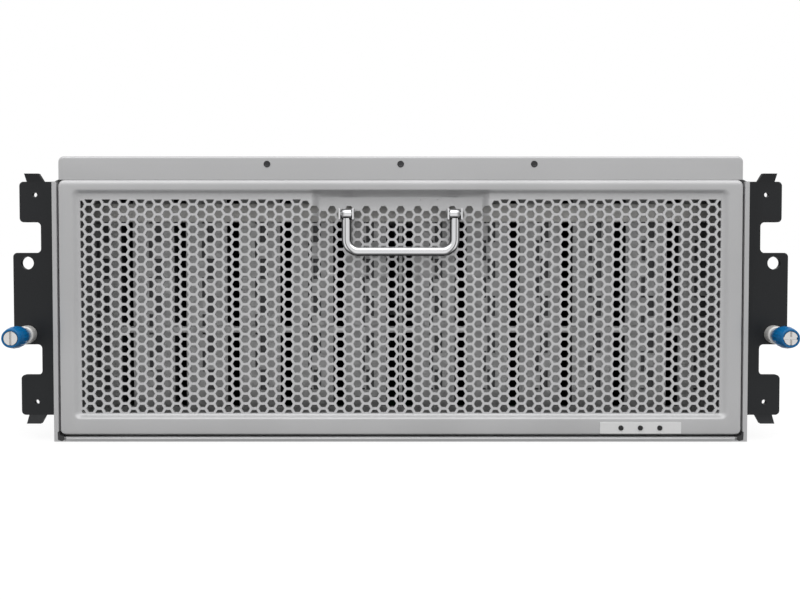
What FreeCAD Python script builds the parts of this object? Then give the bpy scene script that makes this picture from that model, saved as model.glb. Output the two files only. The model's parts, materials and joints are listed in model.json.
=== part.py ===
"""Rack-mount disk enclosure, four rack units high, loaded from the top.

Millimetres. +Z is up, the front faces -Y and +X is on the right of someone who faces it. The origin is
the middle of the footprint, on the underside. Each piece is one solid, or a group of like solids, in its
own file.
"""
import FreeCAD
import Part

import math
import os

V = FreeCAD.Vector

# Rack standard
RACK_WIDTH = 482.6            # across both ears
RACK_UNIT = 44.45             # height of one rack unit
RACK_HOLE_INSET = 8.75        # rack hole axis to the ear's outer edge

# Sheet metal and fits
SHEET = 1.4                   # tray walls and header
FLOOR = 1.5                   # tray floor
COVER_SHEET = 1.2
SEAT_GAP = 0.3                # loose seat between pieces that come apart
SLIDE_GAP = 0.4               # beside, under and over a module in its bay
RUNNING_GAP = 0.05            # radial, on pins and shafts
FIT_GAP = 0.15                # radial, round a screw in its hole

# Disk drives, standing on end
DRIVE_THICK = 26.1
DRIVE_WIDE = 101.6
DRIVE_TALL = 147.0
DRIVE_PITCH = 34.9            # across each half of the enclosure
CENTRE_ROOM = 19.0            # between the two halves
DRIVE_ROWS = 5
ROW_GAP = 10.4                # between two rows, front to back
SIDE_ROOM = 3.2               # least room beside the outer drives
CARRIER_SHEET = 1.0
CARRIER_REACH = 62.0          # of the carrier's top over the drive
CARRIER_SLOT = (9.6, 33.0)    # width and height of a slot in the carrier's front
CARRIER_SLOT_PITCH = 43.0
CARRIER_SLOTS = 3

# Boards under and behind the drives
STANDOFF_TALL = 6.0
STANDOFF_R = 3.0
STANDOFF_INSET = 9.0          # to the board's edge
BOARD_THICK = 2.0
BOARD_MARGIN = 6.0            # of the base board behind the drives
BOARD_SIDE_GAP = 1.0          # base board to the tray's wall
SOCKET = (9.0, 46.0, 5.5)     # drive socket along X, Y and Z
TOP_ROOM = 15.0               # drive top to enclosure top

# Rails between the rows
RAIL_TALL = 12.0
RAIL_THICK = 3.0
RAIL_BELOW_TOP = 13.0         # rail's upper edge under the drive tops
STRIP_TALL = 4.0
STRIP_THICK = 1.5
STRIP_HEIGHT = 49.5           # strip's lower edge over the drive bottoms
DIVIDER_THICK = 2.2

# Front
FIRST_ROW_BACK = 30.0         # front face to the first row of drives
HEM_DEPTH = 12.0              # folded front edge of the tray walls
HEM_DROP = 1.5                # hem's upper end under the header
WALL_FLANGE = 4.2             # turned-in top of the tray walls
LIP_TALL = 2.8                # turned-up front lip of the floor
HEADER_TALL = 14.4
HEADER_DEPTH = 40.0           # of its top
HEADER_SHELF = 26.0           # of its lower flange
HEADER_INSET = 2.6            # its end to the tray's outer face
HEADER_CORNER = 4.0
PANEL_SHEET = 1.2
PANEL_SIDE_GAP = 1.2          # groove beside the panel
PANEL_LIP_GAP = 1.5           # groove over the floor's lip
PANEL_FLANGE = 12.0           # turned-back edges
RIM_SIDE = 8.2
RIM_TOP = 6.4
RIM_BOTTOM = 10.0
RECESS_DEPTH = 3.0
RECESS_INSET = 1.4            # slope of the recess walls
RECESS_CORNER = 2.2           # cut off each corner
FIELD_MARGIN = 3.0            # recess wall to the perforation
HEX_PITCH = 23.4              # from hole to hole, coarser than the real sheet's
HEX_WEB = 6.3                 # metal between two holes
POCKET_WIDE = 110.0
POCKET_TALL = 52.2
POCKET_DEPTH = 4.5
POCKET_INSET = 2.2
POCKET_MARGIN = 0.8           # recess wall to the pocket

# Bail handle
HANDLE_R = 3.0
HANDLE_SPAN = 67.0            # between the leg axes
HANDLE_LEG = 23.1             # pivot to the bar's axis
HANDLE_BEND = 7.0
BEND_RUNS = 2                 # short straight runs in each bend
HANDLE_DROP = 12.6            # pivot under the pocket's upper edge
KNUCKLE_R = 4.2
KNUCKLE_LONG = 6.6
PIN_R = 1.6
CHEEK = 1.1
CHEEK_NOSE = 3.4              # cheek past the pin axis
LUG_REACH = 5.6               # pocket floor to the pin axis

# Rack ears and thumbscrews
EAR_WIDTH = 26.3
EAR_SHEET = 2.5
EAR_TALL = 145.6
EAR_BACK = 4.0                # front face to the ear
EAR_FLANGE = 60.0             # along the tray wall
EAR_CORNER = 2.6
EAR_NOTCH_DEEP = 17.4
EAR_NOTCH_TALL = 19.0
EAR_NOTCH_MID = 38.1          # from mid height
EAR_END_SETBACK = 4.3         # end blocks behind the outer edge
EAR_HOLE_R = 4.0
BEZEL_HOLE_R = 1.5
BEZEL_HOLE_INSET = 13.8       # to the ear's outer edge
BEZEL_HOLE_MID = 64.7         # from mid height
TAB_WIDE = 10.4
TAB_INSET = 8.9               # its outer side to the ear's outer edge
TAB_TALL = 4.8
TAB_LEAN = 3.0                # its tip in front of its root
TAB_TAPER = 1.6               # off its inner side at the tip
SCREW_R = 2.9
FERRULE_R = 5.2
FERRULE_LONG = 5.0
KNOB_R = 6.75
KNOB_END_R = 5.8
KNOB_LONG = 13.4
KNOB_SIDES = 12               # flats of the grip
GRIP_SEAT_R = 3.4             # six-sided seat of the grip, to its corners
SCREW_HEAD_R = 4.3
SCREW_HEAD_LONG = 1.4
DRIVER_SLOT = (1.1, 1.0)      # width and depth
RETAINER_R = 4.2              # to the corners of its six sides
RETAINER_LONG = 1.0
SCREW_TRAVEL = 6.0            # back out of the thread
SCREW_TIP = 3.0               # past the retaining ring

# Status lights
LABEL = (50.4, 0.3, 7.2)      # along X, Y and Z
LABEL_RISE = 0.7              # over the panel's lower edge
LABEL_END = 37.0              # its right end to the panel's right edge
LIGHT_R = 1.6
LIGHT_SIDES = 12
LIGHT_PROUD = 0.8
LIGHT_PITCH = 12.05
LIGHT_OFFSET = -0.2           # middle light to the label's middle

# Rear bays
BAYS = 4
BULKHEAD_BACK = 10.0          # last row pitch to the bulkhead
BULKHEAD_FRAME = 9.0          # metal round its windows
BULKHEAD_MID = 84.0           # middle bar's height
CAGE_SHEET = 1.2
MIDPLANE_STANDOFF = 9.0
MIDPLANE_MARGIN = 8.0
MODULE_TALL = 80.0
MODULE_DEPTH = 225.0
CONNECTOR = (60.0, 14.0, 12.0)
CAGE_DEPTH = 215.0
FAN_DEPTH = 90.0
FAN_WALL = 3.0
FAN_BARREL = 40.0             # depth of the round duct
GUARD_THICK = 2.0
GUARD_BAR = 1.8
GUARD_PITCH = 16.5
MOTOR_R = 15.0
MOTOR_LONG = 6.0
SHAFT_R = 2.0
HUB_LONG = 24.0
BLADES = 7
DUCT_SIDES = 24               # flats of the round duct
BLADE_THICK = 1.6
BLADE_CHORD = 19.0
BLADE_PITCH = 42.0            # degrees from the plane of rotation
BLADE_TIP_GAP = 1.4
BLADE_ROOT = 3.2              # inside the hub
BAIL_REACH = 22.0             # rear pulls stand this far out
BAIL_THICK = 4.0
BAIL_HIGH = 8.0
BAIL_CHAMFER = 5.0
FAN_BAIL_WIDE = 44.0
SUPPLY_BAIL_WIDE = 46.0
SUPPLY_BAIL_OFFSET = 13.0     # its middle to the module's middle
FACE_DEEP = 16.0              # moulded rear end of a lower module
INLET = (27.2, 19.6)
INLET_CHAMFER = 4.5
INLET_INSET = 27.0            # its middle to the module's left side
INLET_PIN = (2.0, 10.0, 4.0)
INLET_PIN_PITCH = 7.0
VENT = (3.0, 30.0, 1.4)       # width, height and depth
VENT_PITCH = 6.0
VENT_MARGIN = 3.0             # to the module's top
VENTS = 7
LATCH = (4.0, 23.0, 14.0)     # along X, Y and Z
LATCH_TRAVEL = 4.0
LATCH_INSET = 8.0             # to the module's right side
PORT = (16.0, 11.0)           # width and height
PORT_PITCH = 23.0
PORTS = 4
PORT_HEIGHT = 50.0
LEVER_LONG = 84.0
LEVER_THICK = 5.0
LEVER_TALL = 9.0
LEVER_HEIGHT = 10.0           # its lower edge over the module's underside
LEVER_PIN_R = 1.8
LUG_THICK = 2.0

# Places that follow from the sizes above
ROW_PITCH = DRIVE_WIDE + ROW_GAP
FRONT_REACH = FERRULE_LONG + SEAT_GAP + KNOB_LONG + SCREW_HEAD_LONG - EAR_BACK
DRIVES_DEEP = FIRST_ROW_BACK + DRIVE_ROWS * ROW_PITCH + BULKHEAD_BACK
REAR_DEEP = SHEET + MIDPLANE_STANDOFF + BOARD_THICK + CONNECTOR[1] + SLIDE_GAP + MODULE_DEPTH
DEPTH = DRIVES_DEEP + REAR_DEEP
FRONT = -(DEPTH + BAIL_REACH - FRONT_REACH) / 2
REAR = FRONT + DEPTH
WIDTH = RACK_WIDTH - 2 * EAR_WIDTH
INNER = WIDTH / 2 - SHEET
BOARD_TOP = FLOOR + STANDOFF_TALL + BOARD_THICK
DRIVE_BASE = BOARD_TOP + SOCKET[2]
DRIVE_TOP = DRIVE_BASE + DRIVE_TALL
HEIGHT = DRIVE_TOP + TOP_ROOM
MID_Z = HEIGHT / 2
WALL_TOP = HEIGHT - HEADER_TALL
HEADER_HALF = WIDTH / 2 - HEADER_INSET
HALF_ROOM = INNER - SIDE_ROOM - CENTRE_ROOM / 2 - DRIVE_THICK
HALF_COLUMNS = int(HALF_ROOM // DRIVE_PITCH) + 1
RIGHT_X = [(CENTRE_ROOM + DRIVE_THICK) / 2 + i * DRIVE_PITCH for i in range(HALF_COLUMNS)]
COLUMN_X = [-x for x in reversed(RIGHT_X)] + RIGHT_X
ROW_Y = [FRONT + FIRST_ROW_BACK + i * ROW_PITCH for i in range(DRIVE_ROWS)]
RAIL_Z = (DRIVE_TOP - RAIL_BELOW_TOP - RAIL_TALL, DRIVE_TOP - RAIL_BELOW_TOP)
STRIP_Z = (DRIVE_BASE + STRIP_HEIGHT, DRIVE_BASE + STRIP_HEIGHT + STRIP_TALL)
RAIL_Y = [y - CARRIER_SHEET - SEAT_GAP for y in ROW_Y + [ROW_Y[-1] + ROW_PITCH]]
PANEL_HALF = WIDTH / 2 - 2 * SHEET - PANEL_SIDE_GAP
PANEL_Z = (LIP_TALL + PANEL_LIP_GAP, WALL_TOP - SEAT_GAP)
RECESS_X = (RIM_SIDE - PANEL_HALF, PANEL_HALF - RIM_SIDE)
RECESS_Z = (PANEL_Z[0] + RIM_BOTTOM, PANEL_Z[1] - RIM_TOP)
FIELD_X = (RECESS_X[0] + RECESS_INSET + FIELD_MARGIN, RECESS_X[1] - RECESS_INSET - FIELD_MARGIN)
FIELD_Z = (RECESS_Z[0] + RECESS_INSET + FIELD_MARGIN, RECESS_Z[1] - RECESS_INSET - FIELD_MARGIN)
POCKET_TOP = RECESS_Z[1] - RECESS_INSET - POCKET_MARGIN
POCKET_X = (-POCKET_WIDE / 2, POCKET_WIDE / 2)
POCKET_Z = (POCKET_TOP - POCKET_TALL, POCKET_TOP)
POCKET_FLOOR = FRONT + RECESS_DEPTH + POCKET_DEPTH
PIVOT = V(HANDLE_SPAN / 2, POCKET_FLOOR - LUG_REACH, POCKET_TOP - HANDLE_DROP)
EAR_Y = FRONT + EAR_BACK
HOLE_X = RACK_WIDTH / 2 - RACK_HOLE_INSET
SCREW_Z = MID_Z - RACK_UNIT / 2
KNOB_Y = EAR_Y - FERRULE_LONG - SEAT_GAP
RETAINER_Y = EAR_Y + EAR_SHEET + SEAT_GAP + SCREW_TRAVEL
BULKHEAD_Y = ROW_Y[-1] + ROW_PITCH + BULKHEAD_BACK
MIDPLANE_Y = BULKHEAD_Y + SHEET + MIDPLANE_STANDOFF
BAY_PITCH = 2 * INNER / BAYS
BAY_X = [(i - (BAYS - 1) / 2) * BAY_PITCH for i in range(BAYS)]
MODULE_HALF = BAY_PITCH / 2 - CAGE_SHEET / 2 - SLIDE_GAP
MODULE_Z = (FLOOR + SLIDE_GAP, FLOOR + SLIDE_GAP + MODULE_TALL)
SHELF_Z = (MODULE_Z[1] + SLIDE_GAP, MODULE_Z[1] + SLIDE_GAP + CAGE_SHEET)
FAN_Z = (SHELF_Z[1] + SLIDE_GAP, WALL_TOP - SHEET - SLIDE_GAP)
FAN_MID = (FAN_Z[0] + FAN_Z[1]) / 2
FAN_R = min(2 * MODULE_HALF, FAN_Z[1] - FAN_Z[0]) / 2 - FAN_WALL
MOTOR_Y = REAR - MOTOR_LONG
HUB_Y = (MOTOR_Y - SEAT_GAP - HUB_LONG, MOTOR_Y - SEAT_GAP)


def block(x, y, z):
    """Box between a low and a high value on each axis."""
    return Part.makeBox(x[1] - x[0], y[1] - y[0], z[1] - z[0], V(x[0], y[0], z[0]))


def around(middle, size):
    """Low and high value of a stretch of the given size about its middle."""
    return (middle - size / 2, middle + size / 2)


def rod(radius, start, end):
    """Round bar from point to point."""
    return Part.makeCylinder(radius, (end - start).Length, start, end - start)


def ring_points(radius, sides, centre, axis):
    """Corners of a regular outline about an axis along X, Y or Z."""
    spoke = V(0, 0, radius) if axis.z == 0 else V(radius, 0, 0)
    step = 360 / sides
    return [centre + FreeCAD.Rotation(axis, k * step).multVec(spoke) for k in range(sides)]


def flat_sided(radius, sides, start, end):
    """Bar with flat sides from point to point; the radius is to its corners."""
    tips = ring_points(radius, sides, start, end - start)
    return Part.Face(Part.makePolygon(tips + tips[:1])).extrude(end - start)


def joined(solids):
    """One solid from pieces that touch or overlap."""
    return solids[0].multiFuse(solids[1:]).removeSplitter()


def bent_path(points, radii):
    """Closed path of straight runs, with a tangent arc of its own radius at each corner."""
    count = len(points)
    marks = []
    for i, here in enumerate(points):
        if radii[i] == 0:
            marks.append((here, None, here))
            continue
        back = (points[i - 1] - here).normalize()
        ahead = (points[(i + 1) % count] - here).normalize()
        half = back.getAngle(ahead) / 2
        reach = radii[i] / math.tan(half)
        inward = (back + ahead).normalize()
        crown = here + inward * (radii[i] / math.sin(half) - radii[i])
        marks.append((here + back * reach, crown, here + ahead * reach))
    edges = []
    for i in range(count):
        start = marks[i][2]
        end, crown, leave = marks[(i + 1) % count]
        edges.append(Part.LineSegment(start, end).toShape())
        if crown:
            edges.append(Part.Arc(end, crown, leave).toShape())
    return Part.Wire(edges)


def front_wire(points, radii, y):
    """Closed outline of (x, z) points at one depth."""
    return bent_path([V(x, y, z) for x, z in points], radii)


def front_plate(points, radii, y):
    """Plate with an (x, z) outline between two depths."""
    return Part.Face(front_wire(points, radii, y[0])).extrude(V(0, y[1] - y[0], 0))


def corners(x, z):
    """The four corners of a rectangle, in order."""
    return [(x[0], z[0]), (x[1], z[0]), (x[1], z[1]), (x[0], z[1])]


def cut_corners(x, z, cut, y):
    """Outline of a rectangle at one depth, with its corners cut off."""
    right = [(x[1] - cut, z[0]), (x[1], z[0] + cut), (x[1], z[1] - cut), (x[1] - cut, z[1])]
    left = [(x[0] + cut, z[1]), (x[0], z[1] - cut), (x[0], z[0] + cut), (x[0] + cut, z[0])]
    return [V(px, y, pz) for px, pz in right + left]


def frustum(near, far):
    """Solid between two outlines with the same number of corners, all its faces flat."""
    faces = [Part.Face(Part.makePolygon(ring + ring[:1])) for ring in (near, far)]
    for k in range(len(near)):
        flat = [near[k - 1], near[k], far[k], far[k - 1]]
        faces.append(Part.Face(Part.makePolygon(flat + flat[:1])))
    return Part.Solid(Part.makeShell(faces))


def pan(x, z, y, depth, inset, cut, grow):
    """Tapered block of a pressed recess, grown on all sides for its outer skin."""
    slope = inset - grow
    mouth = cut_corners((x[0] - grow, x[1] + grow), (z[0] - grow, z[1] + grow), cut, y)
    floor = cut_corners((x[0] + slope, x[1] - slope), (z[0] + slope, z[1] - slope), cut, y + depth + grow)
    return frustum(mouth, floor)


def turned(profile, x, z):
    """Round piece about an axis along Y, from (radius, y) points."""
    points = [V(x + r, y, z) for r, y in profile]
    face = Part.Face(Part.makePolygon(points + points[:1]))
    return face.revolve(V(x, 0, z), V(0, 1, 0), 360)


def mirrored(shape):
    """The same piece on the other side of the middle."""
    return shape.mirror(V(0, 0, 0), V(1, 0, 0))


def chassis_tray():
    """Floor and walls from one bent profile, with folded front edges and a front lip."""
    out = WIDTH / 2
    right = [(out, 0), (out, WALL_TOP), (out - WALL_FLANGE, WALL_TOP), (out - WALL_FLANGE, WALL_TOP - SHEET)]
    right = right + [(INNER, WALL_TOP - SHEET), (INNER, FLOOR)]
    left = [(-x, z) for x, z in reversed(right)]
    body = front_plate(right + left, [0] * len(right + left), (FRONT, REAR))
    notch = block((-out, out), (FRONT, FRONT + HEM_DEPTH), (WALL_TOP - HEM_DROP, WALL_TOP))
    hem_z = (FLOOR, WALL_TOP - HEM_DROP)
    hem = block((INNER - SHEET, INNER), (FRONT, FRONT + HEM_DEPTH), hem_z)
    lip = block((-PANEL_HALF, PANEL_HALF), (FRONT, FRONT + SHEET), (FLOOR, LIP_TALL))
    return joined([body.cut(notch), hem, mirrored(hem), lip])


def hex_holes(in_pocket):
    """Honeycomb of holes in the pocket's floor or in the field round it, none across the pocket's walls."""
    column = HEX_PITCH * math.sqrt(3) / 2
    reach = (HEX_PITCH - HEX_WEB) / math.sqrt(3)
    through = (FRONT, POCKET_FLOOR + PANEL_FLANGE)
    prisms = []
    columns = int(FIELD_X[1] // column)
    rows = int((FIELD_Z[1] - FIELD_Z[0]) // HEX_PITCH) + 1
    for i in range(-columns, columns + 1):
        for j in range(rows):
            x = i * column
            z = FIELD_Z[1] - (j + 0.5 * (i % 2)) * HEX_PITCH
            if z < FIELD_Z[0] or not clear_of_pocket_walls(x, z, reach, in_pocket):
                continue
            turns = [k * math.pi / 3 for k in range(6)]
            tips = [(x + reach * math.cos(a), z + reach * math.sin(a)) for a in turns]
            prisms.append(front_plate(tips, [0] * 6, through))
    field = block(FIELD_X, through, FIELD_Z)
    return Part.makeCompound(prisms).common(field)


def clear_of_pocket_walls(x, z, reach, in_pocket):
    """True where a hole lies wholly on the pocket's floor, or wholly outside the pocket."""
    mid_z = (POCKET_Z[0] + POCKET_Z[1]) / 2
    outside = max(abs(x) - POCKET_WIDE / 2, abs(z - mid_z) - POCKET_TALL / 2)
    if in_pocket:
        return outside < -POCKET_INSET - reach
    return outside > reach + PANEL_SHEET


def pressed_recess(grow):
    """Recess of the panel, or with its metal round it."""
    return pan(RECESS_X, RECESS_Z, FRONT, RECESS_DEPTH, RECESS_INSET, RECESS_CORNER, grow)


def pressed_pocket(grow):
    """Handle pocket in the recess's floor, or with its metal round it."""
    return pan(POCKET_X, POCKET_Z, FRONT + RECESS_DEPTH, POCKET_DEPTH, POCKET_INSET, RECESS_CORNER, grow)


def front_panel():
    """Pressed sheet: rim, perforated recess open at the pocket, and turned-back edges."""
    wide = (-PANEL_HALF, PANEL_HALF)
    rim = block(wide, (FRONT, FRONT + PANEL_SHEET), PANEL_Z)
    back = (FRONT, FRONT + PANEL_FLANGE)
    side = block((PANEL_HALF - PANEL_SHEET, PANEL_HALF), back, PANEL_Z)
    upper = block(wide, back, (PANEL_Z[1] - PANEL_SHEET, PANEL_Z[1]))
    lower = block(wide, back, (PANEL_Z[0], PANEL_Z[0] + PANEL_SHEET))
    foot = block(wide, (back[1] - PANEL_SHEET, back[1]), (FLOOR, PANEL_Z[0] + PANEL_SHEET))
    sheet = joined([rim, side, mirrored(side), upper, lower, foot, pressed_recess(PANEL_SHEET)])
    return sheet.cut(pressed_recess(0)).cut(pressed_pocket(PANEL_SHEET)).cut(hex_holes(False))


def handle_pocket():
    """Deeper pan for the handle, perforated like the sheet that it is set in."""
    return pressed_pocket(PANEL_SHEET).cut(pressed_pocket(0)).cut(hex_holes(True))


def top_header():
    """Channel across the top front, closed at its ends, open at the rear."""
    radii = [0, 0, HEADER_CORNER, HEADER_CORNER]
    out = corners((-HEADER_HALF, HEADER_HALF), (WALL_TOP, HEIGHT))
    inside = corners((SHEET - HEADER_HALF, HEADER_HALF - SHEET), (WALL_TOP + SHEET, HEIGHT - COVER_SHEET))
    radii_in = [0, 0, HEADER_CORNER - SHEET, HEADER_CORNER - SHEET]
    shell = front_plate(out, radii, (FRONT, FRONT + HEADER_DEPTH))
    shell = shell.cut(front_plate(inside, radii_in, (FRONT + SHEET, FRONT + HEADER_DEPTH)))
    past = (FRONT + HEADER_SHELF, FRONT + HEADER_DEPTH)
    return shell.cut(block((-HEADER_HALF, HEADER_HALF), past, (WALL_TOP, WALL_TOP + SHEET)))


def handle_lugs():
    """Two small brackets on the pocket's floor, each with two cheeks and the handle's pin."""
    inside = around(PIVOT.x, KNUCKLE_LONG + 2 * SEAT_GAP)
    outside = (inside[0] - CHEEK, inside[1] + CHEEK)
    z = around(PIVOT.z, 2 * CHEEK_NOSE)
    bracket = block(outside, (PIVOT.y - CHEEK_NOSE, POCKET_FLOOR), z)
    bracket = bracket.cut(block(inside, (PIVOT.y - CHEEK_NOSE, POCKET_FLOOR - CHEEK), z))
    pin = rod(PIN_R, V(inside[0], PIVOT.y, PIVOT.z), V(inside[1], PIVOT.y, PIVOT.z))
    lug = joined([bracket, pin])
    return [lug, mirrored(lug)]


def pull_handle():
    """Round bail with a knuckle on each end, hanging from its pins."""
    half = V(KNUCKLE_LONG / 2, 0, 0)
    centre = V(PIVOT.x - HANDLE_BEND, PIVOT.y, PIVOT.z - HANDLE_LEG + HANDLE_BEND)
    turns = [math.pi / 2 * k / BEND_RUNS for k in range(BEND_RUNS + 1)]
    side = [PIVOT] + [centre + V(math.cos(a), 0, -math.sin(a)) * HANDLE_BEND for a in turns]
    path = Part.makePolygon(side + [V(-p.x, p.y, p.z) for p in reversed(side)])
    ring = Part.Wire(Part.makeCircle(HANDLE_R, PIVOT, V(0, 0, 1)))
    pieces = [path.makePipeShell([ring], True, False, 1)]
    bores = []
    for x in (-PIVOT.x, PIVOT.x):
        mid = V(x, PIVOT.y, PIVOT.z)
        pieces.append(rod(KNUCKLE_R, mid - half, mid + half))
        bores.append(rod(PIN_R + RUNNING_GAP, mid - half, mid + half))
    return joined(pieces).cut(Part.makeCompound(bores))


def rack_ear():
    """Right ear: notched plate with rack holes and leaning tabs, and a flange along the tray's wall."""
    out = RACK_WIDTH / 2
    near = WIDTH / 2
    half = EAR_TALL / 2
    notch = around(EAR_NOTCH_MID, EAR_NOTCH_TALL)
    upper = [(out, notch[0]), (out - EAR_NOTCH_DEEP, notch[0]), (out - EAR_NOTCH_DEEP, notch[1])]
    upper = upper + [(out - EAR_END_SETBACK, notch[1]), (out - EAR_END_SETBACK, half), (near, half)]
    outline = [(x, MID_Z - z) for x, z in reversed(upper)] + [(x, MID_Z + z) for x, z in upper]
    radii = [0] + [EAR_CORNER] * (len(outline) - 2) + [0]
    back = EAR_Y + EAR_SHEET
    plate = front_plate(outline, radii, (EAR_Y, back))
    flange = block((near, near + EAR_SHEET), (EAR_Y, EAR_Y + EAR_FLANGE), around(MID_Z, EAR_TALL))
    pieces = [plate, flange]
    tab_x = (out - TAB_INSET - TAB_WIDE, out - TAB_INSET)
    for side in (-1, 1):
        low = [V(x, y, MID_Z + side * half) for x, y in corners(tab_x, (EAR_Y, back))]
        tip_x = (tab_x[0] + TAB_TAPER, tab_x[1])
        tip_y = (EAR_Y - TAB_LEAN, back - TAB_LEAN)
        high = [V(x, y, MID_Z + side * (half + TAB_TALL)) for x, y in corners(tip_x, tip_y)]
        pieces.append(frustum(low, high))
    holes = [(HOLE_X, SCREW_Z + RACK_UNIT, EAR_HOLE_R), (HOLE_X, SCREW_Z, SCREW_R + FIT_GAP)]
    holes = holes + [(out - BEZEL_HOLE_INSET, MID_Z + s * BEZEL_HOLE_MID, BEZEL_HOLE_R) for s in (-1, 1)]
    drills = [rod(r, V(x, EAR_Y, z), V(x, back, z)) for x, z, r in holes]
    return joined(pieces).cut(Part.makeCompound(drills))


def thumb_ferrules():
    """Steel collars on the ears, in front of the screws' holes."""
    ends = (EAR_Y - FERRULE_LONG, EAR_Y)
    bore = SCREW_R + FIT_GAP
    profile = [(bore, ends[0]), (FERRULE_R, ends[0]), (FERRULE_R, ends[1]), (bore, ends[1])]
    return [turned(profile, x, SCREW_Z) for x in (-HOLE_X, HOLE_X)]


def thumb_retainer(x):
    """Six-sided collar that travels with the screw behind the ear and keeps it captive."""
    ends = (V(x, RETAINER_Y, SCREW_Z), V(x, RETAINER_Y + RETAINER_LONG, SCREW_Z))
    return flat_sided(RETAINER_R, 6, ends[0], ends[1]).cut(rod(SCREW_R + RUNNING_GAP, ends[0], ends[1]))


def thumb_screw(x, crossed):
    """Steel screw: driver head at the front, six-sided seat of the grip, shank and tip."""
    seat = V(x, KNOB_Y - KNOB_LONG, SCREW_Z)
    head = seat.y - SCREW_HEAD_LONG
    neck = V(x, KNOB_Y, SCREW_Z)
    tip = V(x, RETAINER_Y + RETAINER_LONG + SCREW_TIP, SCREW_Z)
    pieces = [rod(SCREW_HEAD_R, V(x, head, SCREW_Z), seat), flat_sided(GRIP_SEAT_R, 6, seat, neck)]
    screw = joined(pieces + [rod(SCREW_R, neck, tip)])
    cut_y = (head, head + DRIVER_SLOT[1])
    wide = around(x, 2 * SCREW_HEAD_R)
    slots = [block(wide, cut_y, around(SCREW_Z, DRIVER_SLOT[0]))]
    if crossed:
        slots.append(block(around(x, DRIVER_SLOT[0]), cut_y, around(SCREW_Z, 2 * SCREW_HEAD_R)))
    return screw.cut(Part.makeCompound(slots))


def thumb_knob(x):
    """Tapered plastic grip with flat sides, behind the screw's head."""
    front = V(x, KNOB_Y - KNOB_LONG, SCREW_Z)
    back = V(x, KNOB_Y, SCREW_Z)
    end = ring_points(KNOB_END_R, KNOB_SIDES, front, back - front)
    grip = frustum(end, ring_points(KNOB_R, KNOB_SIDES, back, back - front))
    return grip.cut(flat_sided(GRIP_SEAT_R + RUNNING_GAP, 6, front, back))


def label_box():
    """X, Y and Z stretch of the status label on the panel's lower rim."""
    right = PANEL_HALF - LABEL_END
    bottom = PANEL_Z[0] + LABEL_RISE
    return (right - LABEL[0], right), (FRONT - LABEL[1], FRONT), (bottom, bottom + LABEL[2])


def status_lights():
    """Three small lights on the label."""
    x, y, z = label_box()
    lights = []
    for i in (-1, 0, 1):
        p = V((x[0] + x[1]) / 2 + LIGHT_OFFSET + i * LIGHT_PITCH, y[0], (z[0] + z[1]) / 2)
        lights.append(flat_sided(LIGHT_R, LIGHT_SIDES, p, p - V(0, LIGHT_PROUD, 0)))
    return lights


def upper_cross_rails():
    """Bars between the walls in front of each row and behind the last."""
    return [block((-INNER, INNER), (y - RAIL_THICK, y), RAIL_Z) for y in RAIL_Y]


def lower_cross_strips():
    """Thin strips under the bars."""
    return [block((-INNER, INNER), (y - STRIP_THICK, y), STRIP_Z) for y in RAIL_Y]


def centre_divider():
    """Wall between the two halves of the drives, notched for the strips."""
    y = (RAIL_Y[0] - RAIL_THICK, RAIL_Y[-1])
    wall = block(around(0, DIVIDER_THICK), y, (BOARD_TOP, RAIL_Z[0]))
    notch_z = (STRIP_Z[0] - SEAT_GAP, STRIP_Z[1] + SEAT_GAP)
    thick = around(0, DIVIDER_THICK)
    notches = [block(thick, (s - STRIP_THICK - SEAT_GAP, s + SEAT_GAP), notch_z) for s in RAIL_Y]
    return wall.cut(Part.makeCompound(notches))


def board_outline():
    """X and Y stretch of the base board."""
    half = INNER - BOARD_SIDE_GAP
    return (-half, half), (RAIL_Y[0] - RAIL_THICK, ROW_Y[-1] + DRIVE_WIDE + BOARD_MARGIN)


def base_board():
    """Circuit board under the drives."""
    x, y = board_outline()
    return block(x, y, (BOARD_TOP - BOARD_THICK, BOARD_TOP))


def board_standoffs():
    """Posts under the base board, and between the bulkhead and the midplane."""
    x, y = board_outline()
    posts = []
    inset = STANDOFF_INSET
    for px in (x[0] + inset, -inset, x[1] - inset):
        for py in (y[0] + inset, (y[0] + y[1]) / 2, y[1] - inset):
            foot = V(px, py, FLOOR)
            posts.append(flat_sided(STANDOFF_R, 6, foot, foot + V(0, 0, STANDOFF_TALL)))
    for px in (BULKHEAD_FRAME / 2 - INNER, INNER - BULKHEAD_FRAME / 2):
        for pz in (MODULE_Z[0] + MIDPLANE_MARGIN + inset, BULKHEAD_MID - inset):
            posts.append(flat_sided(STANDOFF_R, 6, V(px, BULKHEAD_Y + SHEET, pz), V(px, MIDPLANE_Y, pz)))
    return posts


def drive_sockets():
    """One socket under each drive."""
    sockets = []
    for row in ROW_Y:
        y = around(row + DRIVE_WIDE / 2, SOCKET[1])
        sockets = sockets + [block(around(x, SOCKET[0]), y, (BOARD_TOP, DRIVE_BASE)) for x in COLUMN_X]
    return sockets


def drives(row):
    """One row of drives."""
    y = (ROW_Y[row], ROW_Y[row] + DRIVE_WIDE)
    return [block(around(x, DRIVE_THICK), y, (DRIVE_BASE, DRIVE_TOP)) for x in COLUMN_X]


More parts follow.
